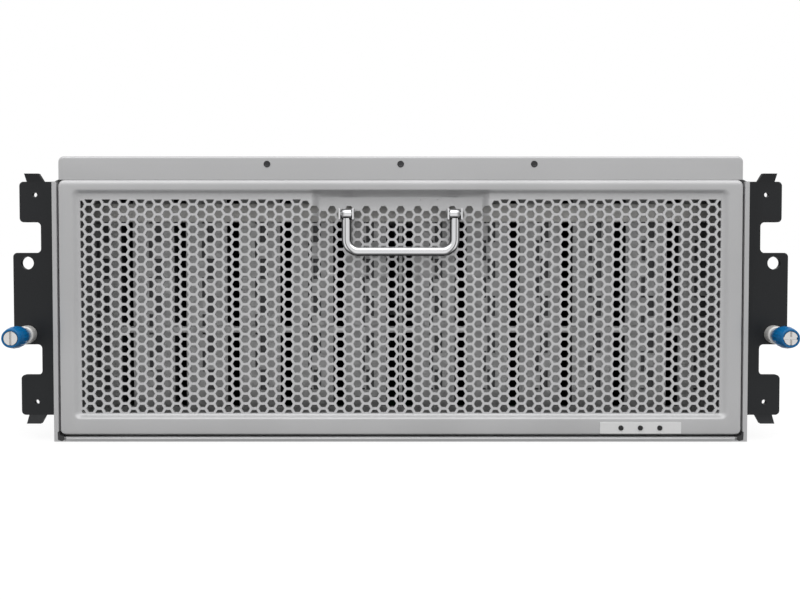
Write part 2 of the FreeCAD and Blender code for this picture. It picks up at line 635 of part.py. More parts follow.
def carriers(row):
    """Angle plates on one row of drives, front and top; the row behind the front panel shows its slots."""
    front = ROW_Y[row] - CARRIER_SHEET
    top = DRIVE_TOP + CARRIER_SHEET
    reach = ROW_Y[row] + CARRIER_REACH
    outline = [V(0, front, DRIVE_BASE), V(0, ROW_Y[row], DRIVE_BASE), V(0, ROW_Y[row], DRIVE_TOP)]
    outline = outline + [V(0, reach, DRIVE_TOP), V(0, reach, top), V(0, front, top)]
    plate = Part.Face(Part.makePolygon(outline + outline[:1])).extrude(V(DRIVE_THICK, 0, 0))
    plate.translate(V(-DRIVE_THICK / 2, 0, 0))
    if row == 0:
        slots = []
        for i in range(CARRIER_SLOTS):
            z = (DRIVE_BASE + DRIVE_TOP) / 2 + (i - (CARRIER_SLOTS - 1) / 2) * CARRIER_SLOT_PITCH
            slots.append(block(around(0, CARRIER_SLOT[0]), (front, ROW_Y[row]), around(z, CARRIER_SLOT[1])))
        plate = plate.cut(Part.makeCompound(slots))
    return [plate.translated(V(x, 0, 0)) for x in COLUMN_X]


def rear_bulkhead():
    """Wall behind the drives with a window into each bay, upper and lower."""
    y = (BULKHEAD_Y, BULKHEAD_Y + SHEET)
    wall = block((-INNER, INNER), y, (FLOOR, WALL_TOP - SHEET))
    windows = []
    half = BAY_PITCH / 2 - BULKHEAD_FRAME
    for x in BAY_X:
        low = (FLOOR + BULKHEAD_FRAME, BULKHEAD_MID - BULKHEAD_FRAME / 2)
        high = (BULKHEAD_MID + BULKHEAD_FRAME / 2, WALL_TOP - SHEET - BULKHEAD_FRAME)
        windows = windows + [block((x - half, x + half), y, z) for z in (low, high)]
    return wall.cut(Part.makeCompound(windows))


def midplane_board():
    """Circuit board that the lower modules plug into."""
    x = (-INNER + SEAT_GAP, INNER - SEAT_GAP)
    return block(x, (MIDPLANE_Y, MIDPLANE_Y + BOARD_THICK), (MODULE_Z[0] + MIDPLANE_MARGIN, BULKHEAD_MID))


def module_connectors():
    """Sockets for the lower modules, on the midplane, and for the fans, on the shelf."""
    pieces = []
    mid = (MODULE_Z[0] + MODULE_Z[1]) / 2
    start = MIDPLANE_Y + BOARD_THICK
    fan_front = REAR - FAN_DEPTH - SLIDE_GAP
    fan_z = (SHELF_Z[1], SHELF_Z[1] + CONNECTOR[2])
    for x in BAY_X:
        wide = around(x, CONNECTOR[0])
        pieces.append(block(wide, (start, start + CONNECTOR[1]), around(mid, CONNECTOR[2])))
        pieces.append(block(wide, (fan_front - CONNECTOR[1], fan_front), fan_z))
    return pieces


def module_cage():
    """Shelf between the fans and the lower modules, with divider plates above and below it."""
    y = (REAR - CAGE_DEPTH, REAR)
    plates = [block((-INNER, INNER), y, SHELF_Z)]
    for left, right in zip(BAY_X, BAY_X[1:]):
        x = around((left + right) / 2, CAGE_SHEET)
        plates.append(block(x, y, (FLOOR, SHELF_Z[0])))
        plates.append(block(x, y, (SHELF_Z[1], WALL_TOP - SHEET)))
    return plates


def top_cover():
    """Shallow pan that rests on the walls, open towards the header."""
    front = FRONT + HEADER_DEPTH + SEAT_GAP
    base = WALL_TOP + SEAT_GAP
    out = corners((-HEADER_HALF, HEADER_HALF), (base, HEIGHT))
    inside = corners((COVER_SHEET - HEADER_HALF, HEADER_HALF - COVER_SHEET), (base, HEIGHT - COVER_SHEET))
    radii = [0, 0, HEADER_CORNER, HEADER_CORNER]
    radii_in = [0, 0, HEADER_CORNER - COVER_SHEET, HEADER_CORNER - COVER_SHEET]
    shell = front_plate(out, radii, (front, REAR))
    return shell.cut(front_plate(inside, radii_in, (front, REAR - COVER_SHEET)))


def bail(x, z, wide, face):
    """Flat U-shaped pull on a rear face."""
    out = face + BAIL_REACH
    low = z - BAIL_HIGH / 2
    ends = around(x, wide)
    inner = (ends[0] + BAIL_THICK, ends[1] - BAIL_THICK)
    chamfer = BAIL_CHAMFER
    outline = [(ends[0], face), (ends[0], out - chamfer), (ends[0] + chamfer, out), (ends[1] - chamfer, out)]
    outline = outline + [(ends[1], out - chamfer), (ends[1], face), (inner[1], face)]
    outline = outline + [(inner[1], out - BAIL_THICK), (inner[0], out - BAIL_THICK), (inner[0], face)]
    points = [V(px, py, low) for px, py in outline]
    return Part.Face(Part.makePolygon(points + points[:1])).extrude(V(0, 0, BAIL_HIGH))


def fan_housing(x):
    """Fan module: square duct in front, round barrel behind, guard with the motor mount, and a pull."""
    front = REAR - FAN_DEPTH
    barrel = REAR - FAN_BARREL
    wide = (x - MODULE_HALF, x + MODULE_HALF)
    case = block(wide, (front, REAR), FAN_Z)
    room_x = (wide[0] + FAN_WALL, wide[1] - FAN_WALL)
    room = block(room_x, (front, barrel), (FAN_Z[0] + FAN_WALL, FAN_Z[1] - FAN_WALL))
    bore = flat_sided(FAN_R, DUCT_SIDES, V(x, barrel, FAN_MID), V(x, REAR, FAN_MID))
    case = case.cut(Part.makeCompound([room, bore]))
    guard_y = (REAR - GUARD_THICK, REAR)
    bars = []
    count = int((FAN_R - GUARD_BAR) // GUARD_PITCH)
    for i in range(-count, count + 1):
        z = FAN_MID + i * GUARD_PITCH
        half = math.sqrt(FAN_R ** 2 - (i * GUARD_PITCH) ** 2) + FAN_WALL / 2
        bars.append(block((x - half, x + half), guard_y, around(z, GUARD_BAR)))
    motor = flat_sided(MOTOR_R, 2 * BLADES, V(x, MOTOR_Y, FAN_MID), V(x, REAR, FAN_MID))
    shaft = rod(SHAFT_R, V(x, HUB_Y[0], FAN_MID), V(x, REAR, FAN_MID))
    pull = bail(x, FAN_Z[1] - BAIL_HIGH / 2, FAN_BAIL_WIDE, REAR)
    return joined([case] + bars + [motor, shaft, pull])


def fan_rotor(x):
    """Hub on the shaft with pitched blades."""
    hub = flat_sided(MOTOR_R, 2 * BLADES, V(0, HUB_Y[0], 0), V(0, HUB_Y[1], 0))
    mid = (HUB_Y[0] + HUB_Y[1]) / 2
    tip = FAN_R * math.cos(math.pi / DUCT_SIDES) - BLADE_TIP_GAP
    reach = math.sqrt(tip ** 2 - (BLADE_CHORD / 2) ** 2)
    blade = block((MOTOR_R - BLADE_ROOT, reach), around(0, BLADE_THICK), around(0, BLADE_CHORD))
    blade.rotate(V(0, 0, 0), V(1, 0, 0), BLADE_PITCH)
    blade.translate(V(0, mid, 0))
    pieces = [hub]
    for i in range(BLADES):
        turn = blade.copy()
        turn.rotate(V(0, 0, 0), V(0, 1, 0), i * 360 / BLADES)
        pieces.append(turn)
    bore = rod(SHAFT_R + RUNNING_GAP, V(0, HUB_Y[0], 0), V(0, HUB_Y[1], 0))
    rotor = joined(pieces).cut(bore)
    return rotor.translated(V(x, 0, FAN_MID))


def module_case(x):
    """Plain metal case of a lower module, in front of its moulded end."""
    return block((x - MODULE_HALF, x + MODULE_HALF), (REAR - MODULE_DEPTH, REAR - FACE_DEEP), MODULE_Z)


def module_face(x):
    """Plain moulded end of a lower module."""
    return block((x - MODULE_HALF, x + MODULE_HALF), (REAR - FACE_DEEP, REAR), MODULE_Z)


def latch_place(x):
    """X and Z stretch of a power supply's latch at rest, near its right edge."""
    right = x + MODULE_HALF - LATCH_INSET
    return (right - LATCH[0], right), around((MODULE_Z[0] + MODULE_Z[1]) / 2, LATCH[2])


def inlet_place(x):
    """Middle of a power supply's inlet."""
    return x - MODULE_HALF + INLET_INSET, (MODULE_Z[0] + MODULE_Z[1]) / 2


def power_supply(x):
    """Power supply's case with the three pins of its inlet."""
    inlet_x, mid = inlet_place(x)
    pieces = [module_case(x)]
    start = REAR - FACE_DEEP
    for i in (-1, 0, 1):
        rise = INLET_PIN[0] if i == 0 else -INLET_PIN[0]
        pin_x = around(inlet_x + i * INLET_PIN_PITCH, INLET_PIN[0])
        pieces.append(block(pin_x, (start, start + INLET_PIN[1]), around(mid + rise, INLET_PIN[2])))
    return joined(pieces)


def supply_face(x):
    """Moulded end of a power supply: inlet, vents, slot for the latch, and a pull."""
    inlet_x, mid = inlet_place(x)
    ix, iz = around(inlet_x, INLET[0]), around(mid, INLET[1])
    outline = corners(ix, iz)[:2] + [(ix[1], iz[1] - INLET_CHAMFER), (ix[1] - INLET_CHAMFER, iz[1])]
    outline = outline + [(ix[0] + INLET_CHAMFER, iz[1]), (ix[0], iz[1] - INLET_CHAMFER)]
    cuts = [front_plate(outline, [0] * 6, (REAR - FACE_DEEP, REAR))]
    lx, lz = latch_place(x)
    slot_x = (lx[0] - LATCH_TRAVEL - SLIDE_GAP, lx[1] + SLIDE_GAP)
    cuts.append(block(slot_x, (REAR - FACE_DEEP, REAR), (lz[0] - SLIDE_GAP, lz[1] + SLIDE_GAP)))
    vent_z = (MODULE_Z[1] - VENT_MARGIN - VENT[1], MODULE_Z[1] - VENT_MARGIN)
    for i in range(VENTS):
        vent_x = around(slot_x[0] - VENT_PITCH * (i + 1), VENT[0])
        cuts.append(block(vent_x, (REAR - VENT[2], REAR), vent_z))
    pull = bail(x + SUPPLY_BAIL_OFFSET, MODULE_Z[0] + BAIL_HIGH, SUPPLY_BAIL_WIDE, REAR)
    return joined([module_face(x).cut(Part.makeCompound(cuts)), pull])


def supply_latch(x):
    """Release tab that slides in its slot."""
    lx, lz = latch_place(x)
    start = REAR - FACE_DEEP + SEAT_GAP
    return block(lx, (start, start + LATCH[1]), lz)


def lever_pivot(x):
    """Axis of an I/O module's ejector lever, at its left end."""
    return V(x - LEVER_LONG / 2, REAR + LEVER_THICK / 2 + SEAT_GAP, MODULE_Z[0] + LEVER_HEIGHT)


def io_face(x):
    """Moulded end of an I/O module: a row of port openings, and lugs with a pin for its lever."""
    port_z = around(MODULE_Z[0] + PORT_HEIGHT, PORT[1])
    cuts = []
    for i in range(PORTS):
        port_x = around(x + (i - (PORTS - 1) / 2) * PORT_PITCH, PORT[0])
        cuts.append(block(port_x, (REAR - FACE_DEEP, REAR), port_z))
    p = lever_pivot(x)
    reach = LEVER_THICK / 2
    low = p.z - SEAT_GAP - LUG_THICK
    top = p.z + LEVER_TALL + SEAT_GAP
    lug_y = (REAR, p.y + reach)
    lugs = [block(around(p.x, 2 * reach), lug_y, (z, z + LUG_THICK)) for z in (low, top)]
    pin = rod(LEVER_PIN_R, V(p.x, p.y, low), V(p.x, p.y, top + LUG_THICK))
    return joined([module_face(x).cut(Part.makeCompound(cuts))] + lugs + [pin])


def io_lever(x):
    """Ejector lever with a round end on its pin."""
    p = lever_pivot(x)
    half = LEVER_THICK / 2
    arm = block((p.x, p.x + LEVER_LONG), (p.y - half, p.y + half), (p.z, p.z + LEVER_TALL))
    end = rod(half, p, p + V(0, 0, LEVER_TALL))
    bore = rod(LEVER_PIN_R + RUNNING_GAP, p, p + V(0, 0, LEVER_TALL))
    return joined([arm, end]).cut(bore)


def save(name, shape):
    """Write one piece, or a group of like pieces, to its file."""
    solid = Part.makeCompound(shape) if isinstance(shape, list) else shape
    solid.exportStep("parts/" + name + ".step")


def main():
    os.makedirs("parts", exist_ok=True)
    ear = rack_ear()
    save("chassis_tray", chassis_tray())
    save("front_panel", front_panel())
    save("top_header", top_header())
    save("handle_pocket", handle_pocket())
    save("handle_lugs", handle_lugs())
    save("pull_handle", pull_handle())
    save("right_ear", ear)
    save("left_ear", mirrored(ear))
    save("ferrules", thumb_ferrules())
    save("status_label", block(*label_box()))
    save("status_lights", status_lights())
    save("upper_cross_rails", upper_cross_rails())
    save("lower_cross_strips", lower_cross_strips())
    save("centre_divider", centre_divider())
    save("base_board", base_board())
    save("board_standoffs", board_standoffs())
    save("drive_sockets", drive_sockets())
    save("rear_bulkhead", rear_bulkhead())
    save("midplane_board", midplane_board())
    save("module_connectors", module_connectors())
    save("module_cage", module_cage())
    save("top_cover", top_cover())
    for name, x in (("left", -HOLE_X), ("right", HOLE_X)):
        save(name + "_retainer", thumb_retainer(x))
        save(name + "_screw", thumb_screw(x, x > 0))
        save(name + "_knob", thumb_knob(x))
    for row in range(DRIVE_ROWS):
        save("drives_row_%d" % (row + 1), drives(row))
        save("carriers_row_%d" % (row + 1), carriers(row))
    for i, x in enumerate(BAY_X):
        save("fan_%d_housing" % (i + 1), fan_housing(x))
        save("fan_%d_rotor" % (i + 1), fan_rotor(x))
    for name, x in (("left", BAY_X[0]), ("right", BAY_X[-1])):
        save(name + "_power_supply", power_supply(x))
        save(name + "_supply_face", supply_face(x))
        save(name + "_supply_latch", supply_latch(x))
    for name, x in (("left", BAY_X[1]), ("right", BAY_X[2])):
        save(name + "_io_module", module_case(x))
        save(name + "_io_face", io_face(x))
        save(name + "_io_lever", io_lever(x))


main()
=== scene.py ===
"""Finished look of a rack-mount disk enclosure, built on its CAD frame.

Metres, in the frame of the CAD model: +Z is up and the front faces -Y. Each piece is a numpy surface or a CAD
solid with softened edges, rides on a CAD body and takes its finish from a procedural material.
"""

import json
import math

import bmesh
import bpy
import numpy as np
from bpy.props import FloatProperty, FloatVectorProperty, IntProperty, PointerProperty
from bpy.types import NodeSocket, Operator, Panel, PropertyGroup
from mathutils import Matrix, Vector


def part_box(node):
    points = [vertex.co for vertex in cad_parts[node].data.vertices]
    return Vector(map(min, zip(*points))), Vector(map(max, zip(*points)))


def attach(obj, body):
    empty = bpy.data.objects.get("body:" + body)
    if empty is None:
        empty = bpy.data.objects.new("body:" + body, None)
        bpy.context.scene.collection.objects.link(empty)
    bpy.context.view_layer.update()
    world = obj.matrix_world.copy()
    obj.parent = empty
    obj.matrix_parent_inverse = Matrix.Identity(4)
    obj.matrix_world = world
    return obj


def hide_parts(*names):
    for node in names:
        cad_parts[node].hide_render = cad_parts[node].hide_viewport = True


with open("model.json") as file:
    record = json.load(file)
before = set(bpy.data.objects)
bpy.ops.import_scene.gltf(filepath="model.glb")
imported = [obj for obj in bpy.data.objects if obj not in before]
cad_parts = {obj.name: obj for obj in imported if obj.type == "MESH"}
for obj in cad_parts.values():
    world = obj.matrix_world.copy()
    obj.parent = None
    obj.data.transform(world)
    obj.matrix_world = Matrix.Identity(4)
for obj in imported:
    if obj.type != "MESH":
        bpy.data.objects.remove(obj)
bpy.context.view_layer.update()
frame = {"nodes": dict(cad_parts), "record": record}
NODE_BODY = {n: body for body, nodes in frame["record"]["behaviour"]["bodies"].items() for n in nodes}
NODE_SLOT = {part["node"]: part["material_slot"] for part in frame["record"]["subparts"]}

bl_info = {
    "name": "Disk enclosure",
    "version": (1, 0, 0),
    "blender": (4, 5, 0),
    "location": "3D View > Sidebar > Enclosure",
    "description": "Builds the pieces, finishes and studio of a rack-mount disk enclosure",
    "category": "Object",
}

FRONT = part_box("front_panel")[0].y
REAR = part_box("chassis_tray")[1].y
SHARP = math.radians(32)      # edges sharper than this stay crisp
BEVELLED = math.radians(40)   # edges of CAD solids sharper than this are rounded
TINY = 1e-6                   # points closer than this are one
SOFT, CRISP = 0.35, 0.10      # share of a pressed wall over which its bends are rounded
EVEN = (1, 1, 1)              # grain without a direction
UPWARDS = np.eye(3)
FORWARDS = np.array([[1, 0, 0], [0, 0, 1], [0, -1, 0]], float)


def length(name, description, default):
    """Length property with the given default, in metres."""
    return FloatProperty(name=name, description=description, default=default, unit="LENGTH", precision=5)


def number(name, description, default, **kind):
    """Property for a plain number, an angle or a power."""
    return FloatProperty(name=name, description=description, default=default, **kind)


def tally(name, description, default):
    """Property for a whole number."""
    return IntProperty(name=name, description=description, default=default)


def colour(name, description, default):
    """Linear colour property."""
    return FloatVectorProperty(name=name, description=description, default=default, subtype="COLOR", min=0, max=1)


class PanelSettings(PropertyGroup):
    """Sizes of the pressed and perforated front panel."""
    columns: tally("Hole columns", "Columns on each side of the middle", 37)
    pitch: length("Hole pitch", "Distance from hole to hole", 0.00621)
    rows: number("Hole rows", "Height of the field in pitches", 21.5)
    web: length("Web", "Metal between two holes", 0.00152)
    sheet: length("Sheet", "Thickness of the sheet", 0.0012)
    overhang: length("Overhang", "Edge past the CAD sheet", 0.0006)
    foot: length("Foot", "Height of the lower edge", 0.0039)
    rim_side: length("Side rim", "Rim beside the recess", 0.0082)
    rim_low: length("Lower rim", "Rim under the recess", 0.0104)
    rim_high: length("Upper rim", "Rim over the recess", 0.0064)
    band: length("Band", "Plain band over the holes", 0.0056)
    bend: length("Bend", "Outer radius of the edge", 0.0024)
    edge_corner: length("Edge corner", "Corner radius of the outline", 0.0038)
    flange: length("Flange", "Depth of the turned-back edge", 0.012)
    recess_depth: length("Recess depth", "Depth of the perforated centre", 0.003)
    recess_slope: length("Recess slope", "Width of the recess wall", 0.0020)
    corner: length("Corner", "Corner radius of the recess", 0.004)
    pocket_corner: length("Pocket corner", "Corner radius of the pocket", 0.0008)
    pocket_depth: length("Pocket depth", "Depth of the pocket in the recess", 0.0045)
    pocket_slope: length("Pocket slope", "Width of its lower wall", 0.0026)
    pocket_brow: length("Pocket brow", "Width of its upper wall", 0.0043)


class HandleSettings(PropertyGroup):
    """Sizes of the bail handle."""
    rod: length("Rod", "Radius of the rod", 0.003)
    bend: length("Bend", "Radius of the two bends", 0.0075)
    knuckle: length("Knuckle", "Radius of the eye on each pin", 0.0032)


class KnobSettings(PropertyGroup):
    """Sizes of the thumbscrew grips."""
    base: length("Base", "Radius near the ear", 0.0042)
    belly: length("Belly", "Largest radius", 0.0066)
    end: length("End", "Radius at the screw's head", 0.0056)
    disc: length("Disc", "Radius of the screw's head", 0.0041)
    slot: length("Slot", "Width of the driver's slot", 0.0014)
    lobes: tally("Lobes", "Ribs round the grip", 20)


class CarrierSettings(PropertyGroup):
    """Sizes of the plates on the front row of drives and of the rail at their feet."""
    wide: length("Width", "Width of a plate", 0.0261)
    pitch: length("Pitch", "From plate to plate", 0.0349)
    sheet: length("Sheet", "Thickness of a plate", 0.001)
    slot: length("Slot width", "Width of a right opening", 0.0052)
    lesser: length("Lesser slot", "Width of a left opening", 0.0026)
    tall: length("Slot height", "Height of an opening", 0.0135)
    period: length("Period", "From opening to opening", 0.0244)
    first: length("First", "Middle of the lowest opening", 0.0330)
    aside: length("Aside", "Right openings from the middle", -0.0002)
    step: length("Step", "Metal between the two columns", 0.0008)
    edge: length("Edge", "Overhang of a plate on its left", 0.0009)
    floor: length("Floor", "Foot of the rail, on the tray", 0.0015)
    overlap: length("Overlap", "Rail over the plates' lower edge", 0.0016)


class FinishSettings(PropertyGroup):
    """Colours of the finishes."""
    silver: colour("Silver", "Pressed sheet of the chassis", (0.50, 0.50, 0.505))
    black: colour("Black", "Coated rack ears", (0.012, 0.013, 0.0145))
    blue: colour("Blue", "Moulded grips and release tabs", (0.0, 0.135, 0.36))
    zinc: colour("Zinc", "Plated inner sheet", (0.41, 0.41, 0.41))
    label: colour("Label", "Strip under the lights", (0.86, 0.86, 0.86))


class StageSettings(PropertyGroup):
    """Camera and light."""
    lens: number("Lens", "Focal length in millimetres", 31.48)
    distance: length("Distance", "Camera to the front face", 0.4316)
    height: length("Height", "Camera over the floor", 0.1223)
    pitch: number("Pitch", "Camera's tilt below the horizon", math.radians(1.27), subtype="ANGLE")
    shift: number("Shift", "Vertical shift of the lens", -0.05)
    key: number("Key light", "Power of the light over the front", 20.8, unit="POWER")
    fill: number("Fill", "Strength of the surroundings", 0.70)


def quads(rows, cols, loop_rows=False, loop_cols=False):
    """Faces of a grid of points numbered row by row, closed on itself where asked."""
    r = np.arange(rows if loop_rows else rows - 1)
    c = np.arange(cols if loop_cols else cols - 1)
    r, c = np.meshgrid(r, c, indexing="ij")
    up, along = (r + 1) % rows, (c + 1) % cols
    return np.stack([r * cols + c, r * cols + along, up * cols + along, up * cols + c], -1).reshape(-1, 4)


def mesh_of(name, points, faces, wear=None):
    """Mesh from points and face arrays; the finish may read how much paler each point is drawn."""
    mesh = bpy.data.meshes.new(name)
    corner = np.concatenate([f.ravel() for f in faces]).astype(np.int32)
    sizes = np.concatenate([np.full(len(f), f.shape[1]) for f in faces])
    mesh.vertices.add(len(points))
    mesh.vertices.foreach_set("co", np.ascontiguousarray(points, np.float32).ravel())
    mesh.loops.add(len(corner))
    mesh.loops.foreach_set("vertex_index", corner)
    mesh.polygons.add(len(sizes))
    mesh.polygons.foreach_set("loop_start", np.concatenate([[0], np.cumsum(sizes)[:-1]]).astype(np.int32))
    if wear is not None:
        mesh.attributes.new("wear", "FLOAT", "POINT").data.foreach_set("value", wear.astype(np.float32))
    mesh.update(calc_edges=True)
    tidy(mesh)
    return mesh


def tidy(mesh, flat=False):
    """Merge doubled points, drop faces without area, join flat ones if asked, and shade smooth up to an angle."""
    work = bmesh.new()
    work.from_mesh(mesh)
    bmesh.ops.remove_doubles(work, verts=work.verts, dist=TINY)
    bmesh.ops.dissolve_degenerate(work, edges=work.edges, dist=TINY)
    if flat:
        bmesh.ops.dissolve_limit(work, angle_limit=math.radians(1), verts=work.verts, edges=work.edges)
    work.to_mesh(mesh)
    work.free()
    mesh.polygons.foreach_set("use_smooth", np.ones(len(mesh.polygons), bool))
    mesh.set_sharp_from_angle(angle=SHARP)
    mesh.update()


def linked(name, data):
    """New object in the scene that holds the data."""
    made = bpy.data.objects.new(name, data)
    bpy.context.scene.collection.objects.link(made)
    return made


def place(name, mesh, slot, body, *nodes, look=None):
    """Object at the origin that rides on a body, takes a slot's finish or a look of its own, and stands for
    CAD nodes."""
    piece = linked(name, mesh)
    mesh.materials.clear()
    mesh.materials.append(finish_of(look or slot))
    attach(piece, body)
    if nodes:
        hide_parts(*nodes)
    return piece


def put(name, surface, slot, body, *nodes, look=None, wear=None):
    """Piece made from the points and faces of a surface."""
    place(name, mesh_of(name, *surface, wear), slot, body, *nodes, look=look)


def softened(node, width, look=None):
    """CAD solid with its edges rounded by a bevel."""
    mesh = frame["nodes"][node].data.copy()
    tidy(mesh, flat=True)
    piece = place(node + ".soft", mesh, NODE_SLOT[node], NODE_BODY[node], node, look=look)
    bevel = piece.modifiers.new("Edges", "BEVEL")
    bevel.width = width
    bevel.segments = 2
    bevel.limit_method = "ANGLE"
    bevel.angle_limit = BEVELLED
    bevel.harden_normals = True


def turned(profile, steps, centre, axes, ripple=0, lobes=0):
    """Surface of revolution: each (radius, height) of the profile goes round the third axis, and its radius
    swells by the ripple times a cosine of the angle."""
    radius, height = np.asarray(profile, float).T
    turn = np.linspace(0, 2 * np.pi, steps, endpoint=False)[:, None]
    radius = radius + ripple * np.cos(lobes * turn)
    points = np.asarray(centre, float) + (radius * np.cos(turn))[..., None] * axes[0]
    points = points + (radius * np.sin(turn))[..., None] * axes[1] + height[:, None] * axes[2]
    return points.reshape(-1, 3), [quads(steps, len(height), loop_rows=True)]


def merged(*parts):
    """Points and faces of several surfaces as one."""
    starts = np.cumsum([0] + [len(points) for points, _ in parts[:-1]])
    faces = [f + start for (_, group), start in zip(parts, starts) for f in group]
    return np.concatenate([points for points, _ in parts]), faces


def sideways(side):
    """Axes of a turned piece that points out of the right wall (1) or the left one (-1)."""
    return np.array([[0, 1, 0], [0, 0, side], [side, 0, 0]], float)


def round_loop(box, low, high, counts):
    """Rounded rectangle in x and z as one closed row of points: four runs, each followed by a quarter circle,
    with one radius for its low corners and one for its high corners."""
    x0, x1, z0, z1 = box
    radii = [low, high, high, low]
    middle = np.array([(x1 - low, z0 + low), (x1 - high, z1 - high), (x0 + high, z1 - high), (x0 + low, z0 + low)])
    rows = []
    for k in range(4):
        out = (k - 1) * np.pi / 2
        edge = np.array([np.cos(out), np.sin(out)])
        t = np.linspace(0, 1, counts[k % 2], endpoint=False)[:, None]
        rows.append((1 - t) * (middle[k - 1] + radii[k - 1] * edge) + t * (middle[k] + radii[k] * edge))
        a = np.linspace(out, out + np.pi / 2, counts[2], endpoint=False)
        rows.append(middle[k] + radii[k] * np.column_stack([np.cos(a), np.sin(a)]))
    return np.concatenate(rows)


def inside(points, box):
    """Which points lie within a rectangle."""
    x, z = points.T
    return (x > box[0]) & (x < box[1]) & (z > box[2]) & (z < box[3])


def shrunk(box, by, wide=None):
    """Rectangle drawn in by one amount above and below, and by the same or another at its two ends."""
    wide = by if wide is None else wide
    return box[0] + wide, box[1] - wide, box[2] + by, box[3] - by


def soft_step(t, soft):
    """Ramp from 0 to 1 with both corners rounded by a parabola of the given width."""
    low = np.minimum(1, t) - np.maximum(soft - np.abs(1 - t), 0) ** 2 / (4 * soft)
    return np.maximum(0, low) + np.maximum(soft - np.abs(low), 0) ** 2 / (4 * soft)


def pan_depth(x, z, box, depth, slope, corner, soft):
    """Depth of a pressed pan: a soft ramp of the distance inside its rounded outline, over the wall's width."""
    qx = np.abs(x - (box[0] + box[1]) / 2) - (box[1] - box[0]) / 2 + corner
    qz = np.abs(z - (box[2] + box[3]) / 2) - (box[3] - box[2]) / 2 + corner
    outside = np.hypot(np.maximum(qx, 0), np.maximum(qz, 0)) + np.minimum(np.maximum(qx, qz), 0) - corner
    return depth * soft_step(-outside / slope, soft)


def feed(tree, socket, value):
    """Link a socket to another one, or set its value."""
    if isinstance(value, NodeSocket):
        tree.links.new(value, socket)
    else:
        socket.default_value = value


def fill(tree, node, **inputs):
    """Feed a node's inputs by name, where underscores stand for spaces."""
    for name, value in inputs.items():
        feed(tree, node.inputs[name.replace("_", " ")], value)


def added(tree, kind, out, **inputs):
    """Output of a new shader node with its inputs fed."""
    made = tree.nodes.new("ShaderNode" + kind)
    fill(tree, made, **inputs)
    return made.outputs[out]


def noise(tree, scale, detail, stretch=EVEN):
    """Noise on Object coordinates, stretched along the axes; its factor drives a finish's variation."""
    spot = added(tree, "Mapping", "Vector", Vector=added(tree, "TexCoord", "Object"), Scale=stretch)
    return added(tree, "TexNoise", "Fac", Vector=spot, Scale=scale, Detail=detail)


def spread(tree, value, low, high, ends=(0.3, 0.7)):
    """Value between two ends, by default those of a noise, spread out to a low and a high one."""
    return added(tree, "MapRange", "Result", Value=value, From_Min=ends[0], From_Max=ends[1], To_Min=low,
                 To_Max=high)


def reckon(tree, operation, *values):
    """Result of a calculation on sockets or numbers."""
    made = tree.nodes.new("ShaderNodeMath")
    made.operation = operation
    for socket, value in zip(made.inputs, values):
        feed(tree, socket, value)
    return made.outputs["Value"]


def base_colour(tree):
    """Input of the finish's base colour."""
    return tree.nodes["Principled BSDF"].inputs["Base Color"]


def mixed(tree, first, second, factor):
    """Feed the finish's base colour with a mix of two colours or sockets, by a factor."""
    mix = tree.nodes.new("ShaderNodeMix")
    mix.data_type = "RGBA"
    fill(tree, mix, A=first, B=second, Factor=factor)
    tree.links.new(mix.outputs["Result"], base_colour(tree))


def shades(base, *levels):
    """Base colour made darker or lighter by each level."""
    return [[min(1, c * level) for c in base] + [1] for level in levels]


def new_finish(name, base, metallic, rough, shade, grain, relief, stretch=EVEN, gloss=0.5):
    """Finish with clouded colour, uneven gloss and a fine grain: base colour, metal share, roughness range,
    shade range, grain scale, relief distance, grain direction and reflection."""
    material = bpy.data.materials.new(name)
    material.use_nodes = True
    tree = material.node_tree
    clouds, fine = noise(tree, 14, 3), noise(tree, grain, 2, stretch)
    mixed(tree, *shades(base, *shade), spread(tree, clouds, 0, 1))
    bump = added(tree, "Bump", "Normal", Distance=relief, Strength=0.35, Height=fine)
    fill(tree, tree.nodes["Principled BSDF"], Metallic=metallic, Specular_IOR_Level=gloss, Normal=bump,
         Roughness=spread(tree, fine, *rough))
    return material


def spangled(tree, base):
    """Zinc plating: crystal cells of a Voronoi pattern shift the shade."""
    cells = added(tree, "TexVoronoi", "Color", Vector=added(tree, "TexCoord", "Object"), Scale=160)
    mixed(tree, *shades(base, 0.86, 1.12), added(tree, "SeparateColor", "Red", Color=cells))


def paler_field(tree, base):
    """Painted sheet drawn paler on the webs between the holes, by a point attribute of the piece."""
    wear = tree.nodes.new("ShaderNodeAttribute")
    wear.attribute_name = "wear"
    mixed(tree, base_colour(tree).links[0].from_socket, *shades(base, 1.16), wear.outputs["Fac"])


def painted_reflections(tree, base):
    """Chrome plating with painted reflections: the base colour is painted darker on the underside, on the flanks
    and in a stripe on the side away from the middle, by the surface's own direction, in place of dark surroundings
    it mirrors."""
    underside, flanks, stripe_at, stripe_half, contrast = -1.6, (0.5, 0.8), 0.22, 0.16, 7.0
    facing = added(tree, "TexCoord", "Normal")
    across = added(tree, "SeparateXYZ", "X", Vector=facing)
    under = reckon(tree, "MULTIPLY", added(tree, "SeparateXYZ", "Z", Vector=facing), underside)
    turned_away = reckon(tree, "MAXIMUM", reckon(tree, "ABSOLUTE", across), under)
    side = added(tree, "SeparateXYZ", "X", Vector=added(tree, "TexCoord", "Object"))
    outward = reckon(tree, "MULTIPLY", across, reckon(tree, "SIGN", side))
    off = reckon(tree, "ABSOLUTE", reckon(tree, "SUBTRACT", outward, stripe_at))
    stripe = reckon(tree, "MULTIPLY", reckon(tree, "SUBTRACT", stripe_half, off), contrast)
    painted_dark = reckon(tree, "MAXIMUM", spread(tree, turned_away, 0, 1, flanks), stripe)
    # painted reflection: where this factor is high the base colour falls to 0.13 of itself, standing in for dark
    # surroundings
    mixed(tree, base_colour(tree).links[0].from_socket, *shades(base, 0.13), painted_dark)


